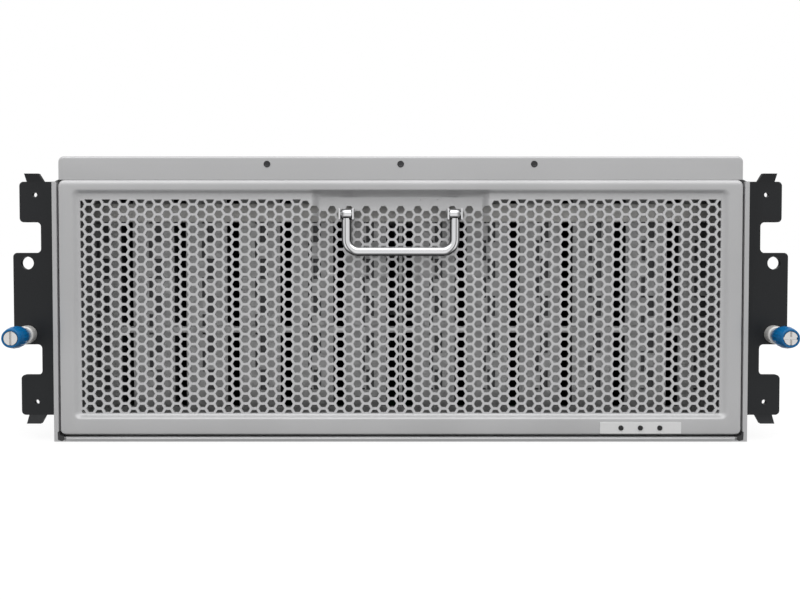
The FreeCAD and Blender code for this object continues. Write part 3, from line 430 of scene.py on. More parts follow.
# Colour or the setting that holds it, metal share, roughness, shades, grain, relief, grain direction, reflection
FINISHES = {
    "silver_paint": ("silver", 0.35, (0.36, 0.46), (0.98, 1.02), 1400, 0.00002),
    "worn_silver": ("silver", 0.35, (0.36, 0.46), (0.95, 1.05), 1400, 0.00002),
    "black_paint": ("black", 0.0, (0.42, 0.58), (0.85, 1.15), 2600, 0.00006, EVEN, 0.25),
    "galvanised": ("zinc", 0.55, (0.34, 0.5), (0.92, 1.06), 900, 0.00003),
    "bright_steel": ((0.62, 0.61, 0.6), 1.0, (0.16, 0.3), (0.92, 1.05), 1800, 0.00001, (1, 0.15, 1)),
    "satin_steel": ((0.66, 0.65, 0.63), 0.3, (0.3, 0.42), (0.9, 1.08), 1500, 0.00002),
    "dark_steel": ((0.05, 0.05, 0.052), 0.8, (0.3, 0.45), (0.8, 1.2), 1600, 0.00002),
    "chrome_plate": ((0.66, 0.66, 0.67), 1.0, (0.08, 0.16), (0.97, 1.02), 700, 0.000004),
    "drive_case": ((0.065, 0.065, 0.067), 0.2, (0.3, 0.45), (0.85, 1.15), 500, 0.00003, (1, 1, 0.1)),
    "blue_plastic": ("blue", 0.0, (0.26, 0.36), (0.92, 1.1), 1500, 0.00003, EVEN, 0.3),
    "release_plastic": ("blue", 0.0, (0.4, 0.55), (0.92, 1.1), 1800, 0.00004),
    "label_film": ("label", 0.0, (0.34, 0.46), (0.97, 1.03), 900, 0.00001),
    "smoked_lens": ((0.010, 0.010, 0.011), 0.0, (0.18, 0.3), (0.8, 1.2), 600, 0.00001, EVEN, 0.3),
    "circuit_board": ((0.008, 0.07, 0.03), 0.0, (0.3, 0.45), (0.7, 1.25), 260, 0.00003),
}
MOULDED = ((0.018, 0.018, 0.019), 0.0, (0.4, 0.6), (0.85, 1.2), 2200, 0.00006)
PATTERNS = {"worn_silver": paler_field, "galvanised": spangled, "chrome_plate": painted_reflections}


def finish_of(slot):
    """Material of a slot or a look, made the first time that it is asked for."""
    name = slot + "_finish"
    if name in bpy.data.materials:
        return bpy.data.materials[name]
    base, *rest = FINISHES.get(slot, MOULDED)
    if isinstance(base, str):
        base = getattr(bpy.context.scene.enclosure_finish, base)
    material = new_finish(name, base, *rest)
    if slot in PATTERNS:
        PATTERNS[slot](material.node_tree, base)
    return material


def honeycomb(centres, holes, steps, field, cell, depth_at, sheet):
    """Perforated sheet: for each cell, rings that run from its hexagonal hole to its border, with each side in
    equal steps, cut off at the field's edges, laid on the pressed depth; front, back and the walls of the holes.
    A cell whose hole has no radius is left whole."""
    turn = np.arange(6) * np.pi / 3
    tips = np.column_stack([np.cos(turn), np.sin(turn)])
    u = (np.arange(steps) / steps)[None, :, None]
    side = ((1 - u) * tips[:, None] + u * np.roll(tips, -1, 0)[:, None]).reshape(-1, 2)
    rings = []
    for radius in (holes, np.full(len(centres), cell)):
        ring = centres[:, None] + radius[:, None, None] * side[None]
        ring[..., 0] = np.clip(ring[..., 0], field[0], field[1])
        ring[..., 1] = np.clip(ring[..., 1], field[2], field[3])
        rings.append(ring)
    v = np.linspace(0, 1, steps + 1)[None, :, None, None]
    flat = (1 - v) * rings[0][:, None] + v * rings[1][:, None]
    front = np.stack([flat[..., 0], depth_at(flat[..., 0], flat[..., 1]), flat[..., 1]], -1)
    back = front + np.array([0, sheet, 0])
    count, around = steps + 1, 6 * steps
    per_cell = count * around
    total = len(centres) * per_cell
    shift = (np.arange(len(centres)) * per_cell)[:, None, None]
    skin = (quads(count, around, loop_cols=True)[None] + shift).reshape(-1, 4)
    ring = np.arange(around)
    wall = np.stack([ring, np.roll(ring, -1), np.roll(ring, -1) + total, ring + total], -1)
    wall = (wall[None] + shift[holes > 0]).reshape(-1, 4)
    return np.concatenate([front.reshape(-1, 3), back.reshape(-1, 3)]), [skin[:, ::-1], skin + total, wall]


def box_surface(low, high):
    """Box between two corners as a row of four points carried along x, with both ends closed."""
    y, z = (low[1], high[1], high[1], low[1]), (low[2], low[2], high[2], high[2])
    rows = [np.column_stack([np.full(4, x), y, z]) for x in (low[0], high[0])]
    ends = np.array([[3, 2, 1, 0], [4, 5, 6, 7]])
    return np.concatenate(rows), [quads(2, 4, loop_cols=True)[:, ::-1], ends]


def prism(outline, front, back):
    """Closed outline in x and z, counter-clockwise from the front, carried straight back with both ends closed."""
    flat = np.asarray(outline, float)
    rows = [np.column_stack([flat[:, 0], np.full(len(flat), y), flat[:, 1]]) for y in (front, back)]
    ring = np.arange(len(flat))[None]
    wall = quads(2, len(flat), loop_cols=True)[:, ::-1]
    return np.concatenate(rows), [ring, ring[:, ::-1] + len(flat), wall]


def pierced(xs, zs, solid, front, back):
    """Flat plate with square openings: a grid of cells in x and z, of which each solid one has a front and a
    back, and a wall along each side where the next cell is open."""
    gx, gz = np.meshgrid(xs, zs, indexing="ij")
    points = [np.stack([gx, np.full(gx.shape, y), gz], -1).reshape(-1, 3) for y in (front, back)]
    total = gx.size
    cells = quads(len(xs), len(zs))[solid.ravel()]
    index = np.arange(total).reshape(gx.shape)
    ring = np.pad(solid, 1)
    faces = [cells[:, ::-1], cells + total]
    sides = ((index[:, :-1], index[:, 1:], ring[:-1, 1:-1], ring[1:, 1:-1]),
             (index[1:], index[:-1], ring[1:-1, :-1], ring[1:-1, 1:]))
    for a, b, near, far in sides:
        wall = np.stack([a, a + total, b + total, b], -1)
        faces = faces + [wall[near & ~far], wall[far & ~near][:, ::-1]]
    return np.concatenate(points), faces


def repeated(part, offsets):
    """Copies of a surface, one at each offset."""
    points, faces = part
    start = (np.arange(len(offsets)) * len(points))[:, None, None]
    copies = (points[None] + np.asarray(offsets, float)[:, None]).reshape(-1, 3)
    return copies, [(f[None] + start).reshape(-1, f.shape[1]) for f in faces]


class ENCLOSURE_OT_panel(Operator):
    """Build the pressed front panel with its perforation and handle pocket"""
    bl_idname = "enclosure.panel"
    bl_label = "Front panel"

    def execute(self, context):
        s = context.scene.enclosure_panel
        low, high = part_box("front_panel")
        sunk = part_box("handle_pocket")
        out = high.x + s.overhang
        edge = (-out, out, s.foot, high.z)
        recess = (low.x + s.rim_side, high.x - s.rim_side, edge[2] + s.rim_low, edge[3] - s.rim_high)
        cell = s.pitch / math.sqrt(3)
        hole = (s.pitch - s.web) / math.sqrt(3)
        half = s.columns * 1.5 * cell
        top = recess[3] - s.band
        field = (-half, half, top - s.rows * s.pitch, top)
        pocket = (sunk[0].x + s.sheet, sunk[1].x - s.sheet, sunk[0].z + s.sheet, recess[3])

        def pressed(x, z):
            slope = np.interp(z, pocket[2:], (s.pocket_slope, s.pocket_brow))
            return pan_depth(x, z, pocket, s.pocket_depth, slope, s.pocket_corner, CRISP)

        def depth_at(x, z):
            return FRONT + s.recess_depth + pressed(x, z)

        # Cells that lie on the field, without holes in the pocket's upper strip, finer where the sheet is bent
        down = np.arange(-1, math.ceil(s.rows) + 2)
        i, j = np.meshgrid(np.arange(-s.columns, s.columns + 1), down, indexing="ij")
        centres = np.stack([i * 1.5 * cell, top - (j + 0.5 * ((i + s.columns + 1) % 2)) * s.pitch], -1)
        centres = centres.reshape(-1, 2)
        over = 0.49 * s.pitch
        centres = centres[(centres[:, 1] > field[2] - over) & (centres[:, 1] < top + over)]
        strip = top - 0.75 * s.pitch
        holes = np.where((np.abs(centres[:, 0]) < pocket[1]) & (centres[:, 1] > strip), 0, hole)
        reach = 1.4 * cell
        bent = inside(centres, shrunk(pocket, -reach)) & ~inside(centres, shrunk(pocket, reach + s.pocket_brow))
        args = (field, cell, depth_at, s.sheet)
        parts = [honeycomb(centres[near], holes[near], steps, *args) for near, steps in ((~bent, 1), (bent, 4))]

        # Border, as loops of an outline, its corner radius and its depth: from the field over the band, the
        # recess wall and the edge's bend to the flange, and back on the inside
        tuck, tight, flat_loops, wall_loops, wider = 0.00015, 0.0005, 6, 12, 1.4
        loops = [(shrunk(field, tuck), tight, s.recess_depth + 0.3 * s.sheet)]
        wall = s.recess_slope * np.linspace(1 + SOFT, -SOFT, wall_loops)
        first = np.array(shrunk(recess, wall[0], wider * wall[0]))
        for t in np.linspace(0, 1, flat_loops, endpoint=False):
            loops.append((tuple((1 - t) * np.array(field) + t * first), tight + 0.002 * t, s.recess_depth))
        for d in wall:
            depth = s.recess_depth * float(soft_step(d / s.recess_slope, SOFT))
            loops.append((shrunk(recess, d, wider * d), s.corner - d, depth))
        skin = len(loops)
        ends, below, above = 0.6, 0.7, 1.5
        for a in np.linspace(0, np.pi / 2, 7):
            by = s.bend * (1 - math.sin(a))
            box = (edge[0] + ends * by, edge[1] - ends * by, edge[2] + below * by, edge[3] - above * by)
            loops.append((box, s.edge_corner - by, s.bend * (1 - math.cos(a))))
        within = shrunk(edge, s.sheet), 0.0022
        loops = loops + [(edge, s.edge_corner, s.flange), (*within, s.flange), (*within, s.sheet)]
        loops = loops + [(box, r, y + s.sheet) for box, r, y in loops[skin - 1:0:-3] + loops[1:2]]
        rows = []
        for box, radius, y in loops:
            x, z = round_loop(box, radius, radius, (300, 60, 8)).T
            rows.append(np.stack([x, FRONT + y + pressed(x, z), z], -1))
        around = len(rows[0])
        border = np.concatenate(rows), [quads(len(rows), around, True, True)[:, ::-1]]
        back = FRONT + s.flange
        foot_strip = box_surface((low.x, back - s.sheet, low.z), (high.x, back, edge[2] + s.sheet))
        points, faces = merged(*parts, border, foot_strip)

        # Paler tone: full on the webs, less on the plain strip, fading over the band and the recess wall
        plain_paleness, wall_paleness = 0.75, 0.2
        fade = [[plain_paleness], np.linspace(plain_paleness, wall_paleness, flat_loops), np.linspace(wall_paleness, 0, wall_loops)]
        fade = np.repeat(np.concatenate(fade), around)
        wear = np.zeros(len(points))
        webs = sum(len(p) for p, _ in parts)
        wear[:webs] = np.where((np.abs(points[:webs, 0]) < pocket[1]) & (points[:webs, 2] > strip), plain_paleness, 1)
        wear[webs:webs + len(fade)] = fade
        put("front_panel_sheet", (points, faces), "silver_paint", "chassis", "front_panel", "handle_pocket",
            look="worn_silver", wear=wear)
        return {"FINISHED"}


class ENCLOSURE_OT_header(Operator):
    """Build the folded channel over the panel and its three small screws"""
    bl_idname = "enclosure.header"
    bl_label = "Header"

    def execute(self, context):
        low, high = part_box("top_header")
        deep = high.y - low.y
        sheet, bend, foot, crown = 0.0014, 0.0017, 0.0004, 0.0036
        shelf, narrow, drop, inset = 0.026, 0.0002, 0.00028, 0.0019
        box = (low.x + narrow, high.x - narrow, low.z - drop, high.z)
        loops = []
        for a in np.linspace(0, np.pi / 2, 8):
            by = bend * (1 - math.sin(a))
            outline = (box[0] + by, box[1] - by, box[2], box[3] - by)
            loops.append((outline, foot, crown - by, inset + bend * (1 - math.cos(a))))
        within = shrunk(box, sheet), 2 * foot, crown - sheet
        loops = loops + [(box, foot, crown, deep), (*within, deep), (*within, inset + sheet)]
        rows = []
        for outline, r_low, r_high, y in loops:
            x, z = round_loop(outline, r_low, r_high, (60, 6, 8)).T
            rows.append(np.stack([x, low.y + np.where(z < low.z + 1.2 * sheet, min(y, shelf), y), z], -1))
        around = len(rows[0])
        ring = np.arange(around)[None]
        faces = [quads(len(rows), around, loop_cols=True)[:, ::-1], ring, ring[:, ::-1] + around * (len(rows) - 1)]
        put("header_channel", (np.concatenate(rows), faces), "silver_paint", "chassis", "top_header")
        head = [(0.0021, 0), (0.0021, 0.0001), (0.0019, 0.0003), (0.0014, 0.0003), (0.0010, 0.00004), (0, 0.00004)]
        apart, under = 0.0826, 0.005
        places = [(x, FRONT + inset, high.z - under) for x in (-apart, 0, apart)]
        screws = merged(*[turned(head, 24, p, FORWARDS) for p in places])
        put("header_screws", screws, "bright_steel", "chassis", look="dark_steel")
        return {"FINISHED"}


def swept(path, radius, steps):
    """Round rod along a path in an upright plane across the front: circles set square to the path's direction."""
    ahead = np.gradient(path, axis=0)
    ahead = ahead / np.linalg.norm(ahead, axis=1)[:, None]
    deep = np.array([0, 1.0, 0])
    across = np.cross(ahead, deep)
    a = np.linspace(0, 2 * np.pi, steps, endpoint=False)[None, :, None]
    rings = path[:, None] + radius * (np.cos(a) * deep + np.sin(a) * across[:, None])
    return rings.reshape(-1, 3), [quads(len(path), steps, loop_cols=True)]


class ENCLOSURE_OT_handle(Operator):
    """Build the chromed bail handle with an eye on each pin"""
    bl_idname = "enclosure.handle"
    bl_label = "Handle"

    def execute(self, context):
        s = context.scene.enclosure_handle
        low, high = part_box("pull_handle")
        wide, bore, edge = 0.0033, 0.0019, 0.0006
        x = high.x - wide
        y = (low.y + high.y) / 2
        eye, bar = high.z - (high.y - low.y) / 2, low.z + s.rod
        down = np.linspace(eye - s.knuckle * 0.8, bar + s.bend, 6, endpoint=False)
        turn = np.linspace(0, np.pi / 2, 14)
        across = np.concatenate([np.zeros(len(down)), s.bend * (1 - np.cos(turn))]) - x
        height = np.concatenate([down, bar + s.bend * (1 - np.sin(turn))])
        left = np.column_stack([across, np.full(len(across), y), height])
        right = left[::-1] * np.array([-1, 1, 1])
        rod = swept(np.concatenate([left, right]), s.rod, 24)
        half = [(s.knuckle, wide - edge), (s.knuckle - 0.3 * edge, wide - 0.3 * edge), (s.knuckle - edge, wide),
                (bore, wide)]
        ring = [(r, -h) for r, h in half[::-1]] + half + [(bore, -wide)]
        eyes = [turned(ring, 32, (side * x, y, eye), sideways(1)) for side in (-1, 1)]
        put("bail_handle", merged(rod, *eyes), "chrome_plate", "handle", "pull_handle")
        softened("handle_lugs", 0.0004)
        return {"FINISHED"}


def sectors(radius, slot, count):
    """Outlines of a disc cut by a slot into halves or by a cross into quarters: an arc, and for a quarter the
    corner at the slots' crossing."""
    gap = math.asin(slot / 2 / radius)
    reach = np.pi if count == 2 else np.pi / 2
    a = np.linspace(gap, reach - gap, 40 // count)
    arc = radius * np.column_stack([np.cos(a), np.sin(a)])
    if count == 4:
        arc = np.concatenate([arc, [[slot / 2, slot / 2]]])
    outlines = []
    for k in range(count):
        t = k * reach + (-np.pi / 2 if count == 2 else 0)
        outlines.append(arc @ np.array([[math.cos(t), math.sin(t)], [-math.sin(t), math.cos(t)]]))
    return outlines


class ENCLOSURE_OT_thumbscrews(Operator):
    """Build the swelling grips of the two thumbscrews, their steel screws, retainers and ferrules"""
    bl_idname = "enclosure.thumbscrews"
    bl_label = "Thumbscrews"

    def execute(self, context):
        s = context.scene.enclosure_knob
        hole, rib, edge, waist = 0.0036, 0.00012, 0.0003, 0.62
        inner, shank, point, sunk = s.disc + edge, 0.0022, 0.0006, 0.0013
        for side, count in (("left", 2), ("right", 4)):
            low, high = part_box(side + "_knob")
            head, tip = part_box(side + "_screw")
            x, z = (low.x + high.x) / 2, (low.z + high.z) / 2
            centre = (x, high.y, z)
            long, cap = high.y - low.y, high.y - head.y
            t = np.linspace(0, 1, 14)
            swell = s.base + (s.belly - s.base) * np.sin(np.clip(t / waist, 0, 1) * np.pi / 2)
            swell = swell + (s.end - s.belly) * np.clip((t - waist) / (1 - waist), 0, 1) ** 2
            body = np.column_stack([swell, edge + t * (cap - 2 * edge)])
            rear = [(hole, 0), (s.base - edge, 0)]
            front = [(s.end - edge, cap), (inner + 0.0001, cap), (inner, cap - 0.0002), (inner, long), (hole, long),
                     (hole, 0)]
            profile = np.concatenate([rear, body, front])
            ribbed = np.pad(np.where((t > 0.1) & (t < 0.8), rib, 0), (len(rear), len(front)))
            grip = turned(profile, 6 * s.lobes, centre, FORWARDS, ribbed, s.lobes)
            put(side + "_grip", grip, "blue_plastic", side + "_thumbscrew", side + "_knob")
            face, floor, end = cap - 0.0001, cap - sunk, high.y - tip.y
            stem = [(0, floor), (s.disc, floor), (s.disc, long + 0.0002), (shank, long), (shank, end + point),
                    (shank - point, end), (0, end)]
            screw = [turned(stem[::-1], 48, centre, FORWARDS)]
            for outline in sectors(s.disc, s.slot, count):
                screw.append(prism(outline + np.array([x, z]), high.y - face, high.y - floor))
            put(side + "_steel_screw", merged(*screw), "bright_steel", side + "_thumbscrew", side + "_screw")
            softened(side + "_retainer", 0.0003)
        low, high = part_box("ferrules")
        bore, wide, deep = 0.0032, 0.0056, high.y - low.y
        ring = [(bore, 0), (wide, 0), (wide, deep - 0.0012), (wide - 0.0002, deep - 0.0006),
                (wide - 0.0006, deep - 0.0002), (wide - 0.0012, deep), (bore, deep), (bore, 0)]
        x, z = high.x - (high.z - low.z) / 2, (low.z + high.z) / 2
        rings = merged(*[turned(ring, 40, (side * x, high.y, z), FORWARDS) for side in (-1, 1)])
        put("ferrule_rings", rings, "bright_steel", "chassis", "ferrules", look="satin_steel")
        return {"FINISHED"}


class ENCLOSURE_OT_lights(Operator):
    """Build the three domed lights and the strip that carries them"""
    bl_idname = "enclosure.lights"
    bl_label = "Status lights"

    def execute(self, context):
        low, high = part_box("status_lights")
        radius, proud, rise = (high.z - low.z) / 2, high.y - low.y, 0.3
        a = np.linspace(0, np.pi / 2, 8)
        bow = np.column_stack([radius * np.cos(a), (rise + (1 - rise) * np.sin(a)) * proud])
        dome = np.concatenate([[(radius, 0), (radius, rise * proud)], bow])
        x, z = (low.x + radius, (low.x + high.x) / 2, high.x - radius), (low.z + high.z) / 2
        domes = merged(*[turned(dome, 32, (at, high.y, z), FORWARDS) for at in x])
        put("light_domes", domes, "smoked_lens", "chassis", "status_lights")
        softened("status_label", 0.0002)
        return {"FINISHED"}


class ENCLOSURE_OT_carriers(Operator):
    """Build the front row's carriers, each with two staggered columns of openings, and the rail at their feet"""
    bl_idname = "enclosure.carriers"
    bl_label = "Front carriers"

    def execute(self, context):
        s = context.scene.enclosure_carrier
        low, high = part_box("carriers_row_1")
        half, sheet = s.wide / 2, s.sheet
        rise = np.arange(6) * s.period + s.first
        middles = (rise - s.period / 2, rise)
        left = s.aside - s.step
        xs = np.array([-half - s.edge, left - s.lesser, left, s.aside, s.aside + s.slot, half])
        ends = np.concatenate([m + e * s.tall / 2 for m in middles for e in (-1, 1)])
        ends = ends[(ends > low.z + sheet) & (ends < high.z - 3 * sheet)]
        zs = np.concatenate([[low.z], np.sort(ends), [high.z]])
        at = (zs[:-1] + zs[1:]) / 2
        solid = np.ones((5, len(at)), bool)
        for column, middle in zip((1, 3), middles):
            opened = (np.abs(at[:, None] - middle[None]) < s.tall / 2).any(1)
            solid[column] = ~(opened & (at > zs[1]) & (at < zs[-2]))
        plate = pierced(xs, zs, solid, low.y, low.y + sheet)
        top = box_surface((-half, low.y + sheet, high.z - sheet), (half, high.y, high.z))
        places = high.x - half - np.arange(6) * s.pitch
        offsets = np.column_stack([np.concatenate([-places, places]), np.zeros((12, 2))])
        carriers = repeated(merged(plate, top), offsets)
        put("front_carriers", carriers, "galvanised", "chassis", "carriers_row_1")
        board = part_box("base_board")[0]
        ahead = min(board.y, low.y) - 2 * sheet
        rail = box_surface((board.x, ahead, s.floor), (-board.x, ahead + sheet, low.z + s.overlap))
        put("base_rail", rail, "galvanised", "chassis")
        return {"FINISHED"}


class ENCLOSURE_OT_trim(Operator):
    """Build the rolled lip under the panel, dark pieces that paint the shadow in the slits at its corners, and the
    screws that hold the ears
    """
    bl_idname = "enclosure.trim"
    bl_label = "Trim"

    def execute(self, context):
        half, tall, proud, lifted, tapered, crest = 0.2084, 0.0028, 0.0010, 0.00005, 0.002, 0.7
        taper = tapered * (1 - np.sin(np.linspace(0, np.pi / 2, 6)))
        x = half * np.concatenate([-1 + taper, np.linspace(-0.98, 0.98, 9), 1 - taper[::-1]])
        past = ((np.abs(x) - half * (1 - tapered)) / (half * tapered)).clip(0)
        swell = np.sqrt(np.clip(1 - past ** 2, 0.0025, 1))[:, None]
        a = np.linspace(0, np.pi, 12)
        up = (1 - np.cos(a)) / 2
        over = np.sqrt(np.clip(1 - ((up - crest) / (1 - crest)) ** 2, 0, 1))
        y = FRONT - proud * swell * np.where(up < crest, up / crest, over)
        z = tall / 2 + lifted - (tall / 2 - 2 * lifted) * swell * np.cos(a)
        points = np.stack([np.broadcast_to(x[:, None], y.shape), y, z], -1).reshape(-1, 3)
        put("rolled_lip", (points, [quads(len(x), len(a), loop_cols=True)]), "silver_paint", "chassis")

        # painted shadow: dark plastic blocks fill the corner slits by the lip and under the header, where there is
        # only shade
        lower = np.array([(0.2086, 0.0012), (0.2100, 0.0004), (0.2125, 0.0012), (0.2127, 0.0060),
                          (0.2118, 0.0064), (0.2112, 0.0042), (0.2088, 0.0034)])
        upper = np.array([(0.2106, 0.1600), (0.2149, 0.1600), (0.2149, 0.1611), (0.2122, 0.1624), (0.2106, 0.1624)])
        shadow_fills = []
        for outline, front, back in ((lower, -0.0003, 0.001), (upper, 0.0026, 0.0116)):
            for shape in (outline, outline[::-1] * np.array([-1, 1])):
                shadow_fills.append(prism(shape, FRONT + front, FRONT + back))
        put("corner_seals", merged(*shadow_fills), "black_plastic", "chassis")

        dome = [(0.0036, 0), (0.0036, 0.0006), (0.0031, 0.0015), (0.0020, 0.0021), (0.0016, 0.0021),
                (0.0015, 0.0012), (0, 0.0012)]
        out, along, mid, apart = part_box("right_ear")[0].x + 0.0025, FRONT + 0.034, 0.0885, 0.045
        heads = [turned(dome, 32, (side * out, along, mid + lift), sideways(side))
                 for side in (-1, 1) for lift in (-apart, apart)]
        put("ear_screws", merged(*heads), "bright_steel", "chassis", look="dark_steel")
        return {"FINISHED"}


def fan_blade(root, tip, chord, sheet, steps=(12, 9)):
    """Twisted fan blade round the y axis: a grid of radius and chord, where the pitch falls from root to tip, the
    chord sweeps forward with the radius and bows as a parabola; the same grid one sheet on closes it."""
    r, c = np.meshgrid(np.linspace(root, tip, steps[0]), np.linspace(-0.5, 0.5, steps[1]), indexing="ij")
    out = (r - root) / (tip - root)
    steep, twist, bow, sweep = 54, 20, 0.12, 0.35
    pitch = np.radians(steep - twist * out)
    turn = (chord * np.cos(pitch) * c + bow * chord * (1 - 4 * c ** 2) + sweep * chord * out ** 2) / r
    x, y, z = r * np.cos(turn), chord * np.sin(pitch) * c, r * np.sin(turn)
    skins = [np.stack([x, y + t, z], -1).reshape(-1, 3) for t in (-sheet / 2, sheet / 2)]
    index = np.arange(r.size).reshape(r.shape)
    rim = np.concatenate([index[:-1, 0], index[-1, :-1], index[:0:-1, -1], index[0, :0:-1]])
    edge = np.stack([rim, np.roll(rim, -1), np.roll(rim, -1) + r.size, rim + r.size], -1)
    skin = quads(*steps)
    return np.concatenate(skins), [skin, skin[:, ::-1] + r.size, edge[:, ::-1]]


class ENCLOSURE_OT_fans(Operator):
    """Build the four fan wheels with twisted blades and soften their housings"""
    bl_idname = "enclosure.fans"
    bl_label = "Fans"

    def execute(self, context):
        blades, tip, chord, sheet, hub, root, bore, edge = 7, 0.0335, 0.0215, 0.0014, 0.0149, 0.002, 0.0023, 0.0008
        blade, faces = fan_blade(hub - root, tip, chord, sheet)
        for k in range(1, 5):
            name = "fan_%d" % k
            low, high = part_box(name + "_rotor")
            middle, long = (low + high) / 2, high.y - low.y
            parts = []
            for a in np.arange(blades) * 2 * np.pi / blades:
                turn = np.array([[np.cos(a), 0, -np.sin(a)], [0, 1, 0], [np.sin(a), 0, np.cos(a)]])
                parts.append((blade @ turn + np.array(middle), faces))
            ring = [(bore, 0), (hub - root, 0), (hub - 0.0006, 0.0006), (hub, 0.002), (hub, long - edge),
                    (hub - edge, long), (bore, long), (bore, 0)]
            parts.append(turned(ring, 48, (middle.x, high.y, middle.z), FORWARDS))
            put(name + "_wheel", merged(*parts), "black_plastic", name + "_wheel", name + "_rotor")
            softened(name + "_housing", 0.0005)
        return {"FINISHED"}


class ENCLOSURE_OT_modules(Operator):
    """Build the port cages of the lower modules and soften their moulded ends, levers and tabs"""
    bl_idname = "enclosure.modules"
    bl_label = "Modules"

    def execute(self, context):
        wide, tall, wall, pitch, port_z = 0.0156, 0.0106, 0.0006, 0.023, 0.050
        xs, zs = [np.array([-size / 2, wall - size / 2, size / 2 - wall, size / 2]) for size in (wide, tall)]
        solid = np.ones((3, 3), bool)
        solid[1, 1] = False
        cage = pierced(xs, zs, solid, REAR - 0.0145, REAR + 0.0005)
        tongue = box_surface((-0.0055, REAR - 0.0155, -0.0009), (0.0055, REAR - 0.004, 0.0009))
        inlet_x, out, up, cut = 0.027, 0.0135, 0.0097, 0.0045
        socket = np.array([(-out, -up), (out, -up), (out, up - cut), (out - cut, up), (cut - out, up),
                           (-out, up - cut)])
        soft = {"_io_face": 0.0004, "_io_lever": 0.0008, "_supply_face": 0.0004, "_supply_latch": 0.0006,
                "_power_supply": 0.0003, "_io_module": 0.0003}
        for side in ("left", "right"):
            low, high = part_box(side + "_io_module")
            middle = (low.x + high.x) / 2
            offsets = [(middle + i * pitch, 0, low.z + port_z) for i in (-1.5, -0.5, 0.5, 1.5)]
            put(side + "_port_cages", repeated(cage, offsets), "bright_steel", side + "_io")
            low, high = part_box(side + "_power_supply")
            outline = socket + np.array([low.x + inlet_x, (low.z + high.z) / 2])
            floor = prism(outline, REAR - 0.0159, REAR - 0.0125)
            put(side + "_inlet_floor", floor, "black_plastic", side + "_supply")
            put(side + "_port_tongues", repeated(tongue, offsets), "black_plastic", side + "_io")
            for node, width in soft.items():
                softened(side + node, width)
        return {"FINISHED"}


class ENCLOSURE_OT_fasteners(Operator):
    """Build the flat screws in the side walls and along the cover"""
    bl_idname = "enclosure.fasteners"
    bl_label = "Fasteners"

    def execute(self, context):
        head = [(0.0034, -0.0002), (0.0034, 0.0001), (0.0031, 0.0003), (0.0013, 0.0003), (0.0012, -0.0002),
                (0, -0.0002)]
        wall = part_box("chassis_tray")[1].x
        rows = [(y, z) for y in (-0.30, -0.19, -0.08, 0.03) for z in (0.030, 0.143)]
        rows = rows + [(y, z) for y in (0.171, 0.250, 0.400) for z in (0.030, 0.083, 0.143)]
        screws = [turned(head, 20, (side * wall, y, z), sideways(side)) for side in (-1, 1) for y, z in rows]
        put("wall_screws", merged(*screws), "bright_steel", "chassis")
        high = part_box("top_cover")[1]
        along = [(x, high.y - 0.012) for x in (-0.19, -0.095, 0, 0.095, 0.19)]
        along = along + [(x, y) for x in (-0.203, 0.203) for y in (-0.33, -0.15, 0.03, 0.21)]
        screws = [turned(head, 20, (x, y, high.z - 0.0001), UPWARDS) for x, y in along]
        put("cover_screws", merged(*screws), "bright_steel", "cover")
        return {"FINISHED"}


class ENCLOSURE_OT_shell(Operator):
    """Soften the folded sheet of the tray, the ears, the cover and the frame inside"""
    bl_idname = "enclosure.shell"
    bl_label = "Shell"

    def execute(self, context):
        for node, width in (("chassis_tray", 0.0005), ("top_cover", 0.0005), ("left_ear", 0.0004),
                            ("right_ear", 0.0004), ("module_cage", 0.0003), ("centre_divider", 0.0003)):
            softened(node, width)
        # painted light: the upper cross rails take the paler satin steel instead of their zinc, standing in for
        # light the header keeps off them
        softened("upper_cross_rails", 0.0003, look="satin_steel")
        return {"FINISHED"}


class ENCLOSURE_OT_finishes(Operator):
    """Give every CAD node that stays in view its finish"""
    bl_idname = "enclosure.finishes"
    bl_label = "Finishes"

    def execute(self, context):
        for node, solid in frame["nodes"].items():
            for holder in solid.material_slots:
                holder.material = finish_of(NODE_SLOT[node])
        return {"FINISHED"}


def seen_white(tree):
    """One for rays from the camera, from mirrors and through glass, zero for light that falls on the object."""
    path = tree.nodes.new("ShaderNodeLightPath")
    total = path.outputs["Is Camera Ray"]
    for kind in ("Is Glossy Ray", "Is Transmission Ray"):
        total = reckon(tree, "MAXIMUM", total, path.outputs[kind])
    return total


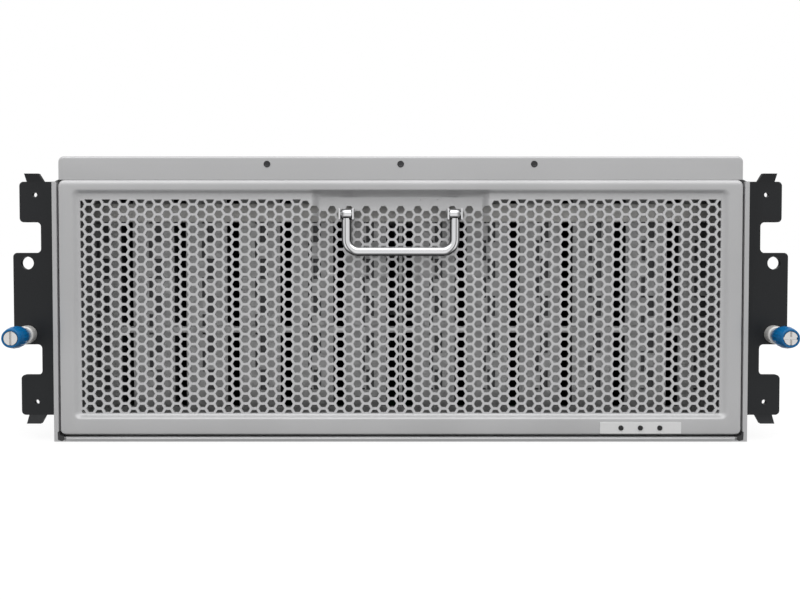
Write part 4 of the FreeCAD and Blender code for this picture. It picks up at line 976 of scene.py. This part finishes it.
class ENCLOSURE_OT_stage(Operator):
    """Set up the white floor, the soft light and the camera"""
    bl_idname = "enclosure.stage"
    bl_label = "Stage"

    def execute(self, context):
        s = context.scene.enclosure_stage
        scene = context.scene
        scene.view_settings.view_transform = "Standard"
        world = bpy.data.worlds.new("studio")
        scene.world = world
        world.use_nodes = True
        tree = world.node_tree
        level = spread(tree, seen_white(tree), s.fill, 1.0, (0, 1))
        fill(tree, tree.nodes["Background"], Color=(1, 1, 1, 1), Strength=level)

        half, under, grey, glow = 6.0, 0.0003, 0.17, 0.82
        corners = [(-half, -half, 0), (half, -half, 0), (half, half, 0), (-half, half, 0)]
        mesh = bpy.data.meshes.new("floor")
        mesh.from_pydata(corners, [], [(0, 1, 2, 3)])
        floor = linked("floor", mesh)
        floor.location.z = -under
        pale = bpy.data.materials.new("floor_white")
        pale.use_nodes = True
        tree = pale.node_tree
        fill(tree, tree.nodes["Principled BSDF"], Base_Color=(grey, grey, grey, 1), Roughness=0.9,
             Emission_Color=(1, 1, 1, 1), Emission_Strength=reckon(tree, "MULTIPLY", seen_white(tree), glow))
        mesh.materials.append(pale)

        aim = Vector((0, 0, 0.09))
        for name, spot, size, power in (("key", (0.0, -0.95, 1.5), (3.0, 1.6), s.key),
                                        ("rear", (0.3, 1.6, 1.7), (1.8, 1.8), 0.4 * s.key)):
            lamp = bpy.data.lights.new(name, "AREA")
            lamp.shape = "RECTANGLE"
            lamp.size, lamp.size_y = size
            lamp.energy = power
            holder = linked(name, lamp)
            holder.location = spot
            holder.rotation_euler = (aim - Vector(spot)).to_track_quat("-Z", "Y").to_euler()

        lens = bpy.data.cameras.new("camera")
        lens.lens = s.lens
        lens.sensor_width = 36
        lens.sensor_fit = "HORIZONTAL"
        lens.shift_y = s.shift
        lens.clip_start = 0.02
        lens.clip_end = 50
        camera = linked("camera", lens)
        camera.location = (-0.0004, FRONT - s.distance, s.height)
        camera.rotation_euler = (math.pi / 2 - s.pitch, 0, 0)
        scene.camera = camera
        return {"FINISHED"}


PIECES = (ENCLOSURE_OT_panel, ENCLOSURE_OT_header, ENCLOSURE_OT_handle, ENCLOSURE_OT_thumbscrews,
          ENCLOSURE_OT_lights, ENCLOSURE_OT_carriers, ENCLOSURE_OT_trim, ENCLOSURE_OT_fans, ENCLOSURE_OT_modules,
          ENCLOSURE_OT_fasteners, ENCLOSURE_OT_shell, ENCLOSURE_OT_finishes, ENCLOSURE_OT_stage)
SETTINGS = {"enclosure_panel": PanelSettings, "enclosure_handle": HandleSettings, "enclosure_knob": KnobSettings,
            "enclosure_carrier": CarrierSettings, "enclosure_finish": FinishSettings,
            "enclosure_stage": StageSettings}


class VIEW3D_PT_enclosure(Panel):
    """Steps and settings of the enclosure"""
    bl_label = "Enclosure"
    bl_space_type = "VIEW_3D"
    bl_region_type = "UI"
    bl_category = "Enclosure"

    def draw(self, context):
        column = self.layout.column()
        for step in PIECES:
            column.operator(step.bl_idname)
        for holder in SETTINGS:
            group = getattr(context.scene, holder)
            box = self.layout.box()
            for name in group.bl_rna.properties.keys()[1:]:
                box.prop(group, name)


def register():
    """Register the settings, the steps and the panel."""
    for holder, kind in SETTINGS.items():
        bpy.utils.register_class(kind)
        setattr(bpy.types.Scene, holder, PointerProperty(type=kind))
    for kind in PIECES + (VIEW3D_PT_enclosure,):
        bpy.utils.register_class(kind)


def unregister():
    """Take the panel, the steps and the settings off again."""
    for kind in (VIEW3D_PT_enclosure,) + PIECES[::-1]:
        bpy.utils.unregister_class(kind)
    for holder, kind in SETTINGS.items():
        delattr(bpy.types.Scene, holder)
        bpy.utils.unregister_class(kind)


def main():
    """Build every piece in order."""
    register()
    for step in PIECES:
        group, name = step.bl_idname.split(".")
        getattr(getattr(bpy.ops, group), name)()


if __name__ == "__main__":
    main()
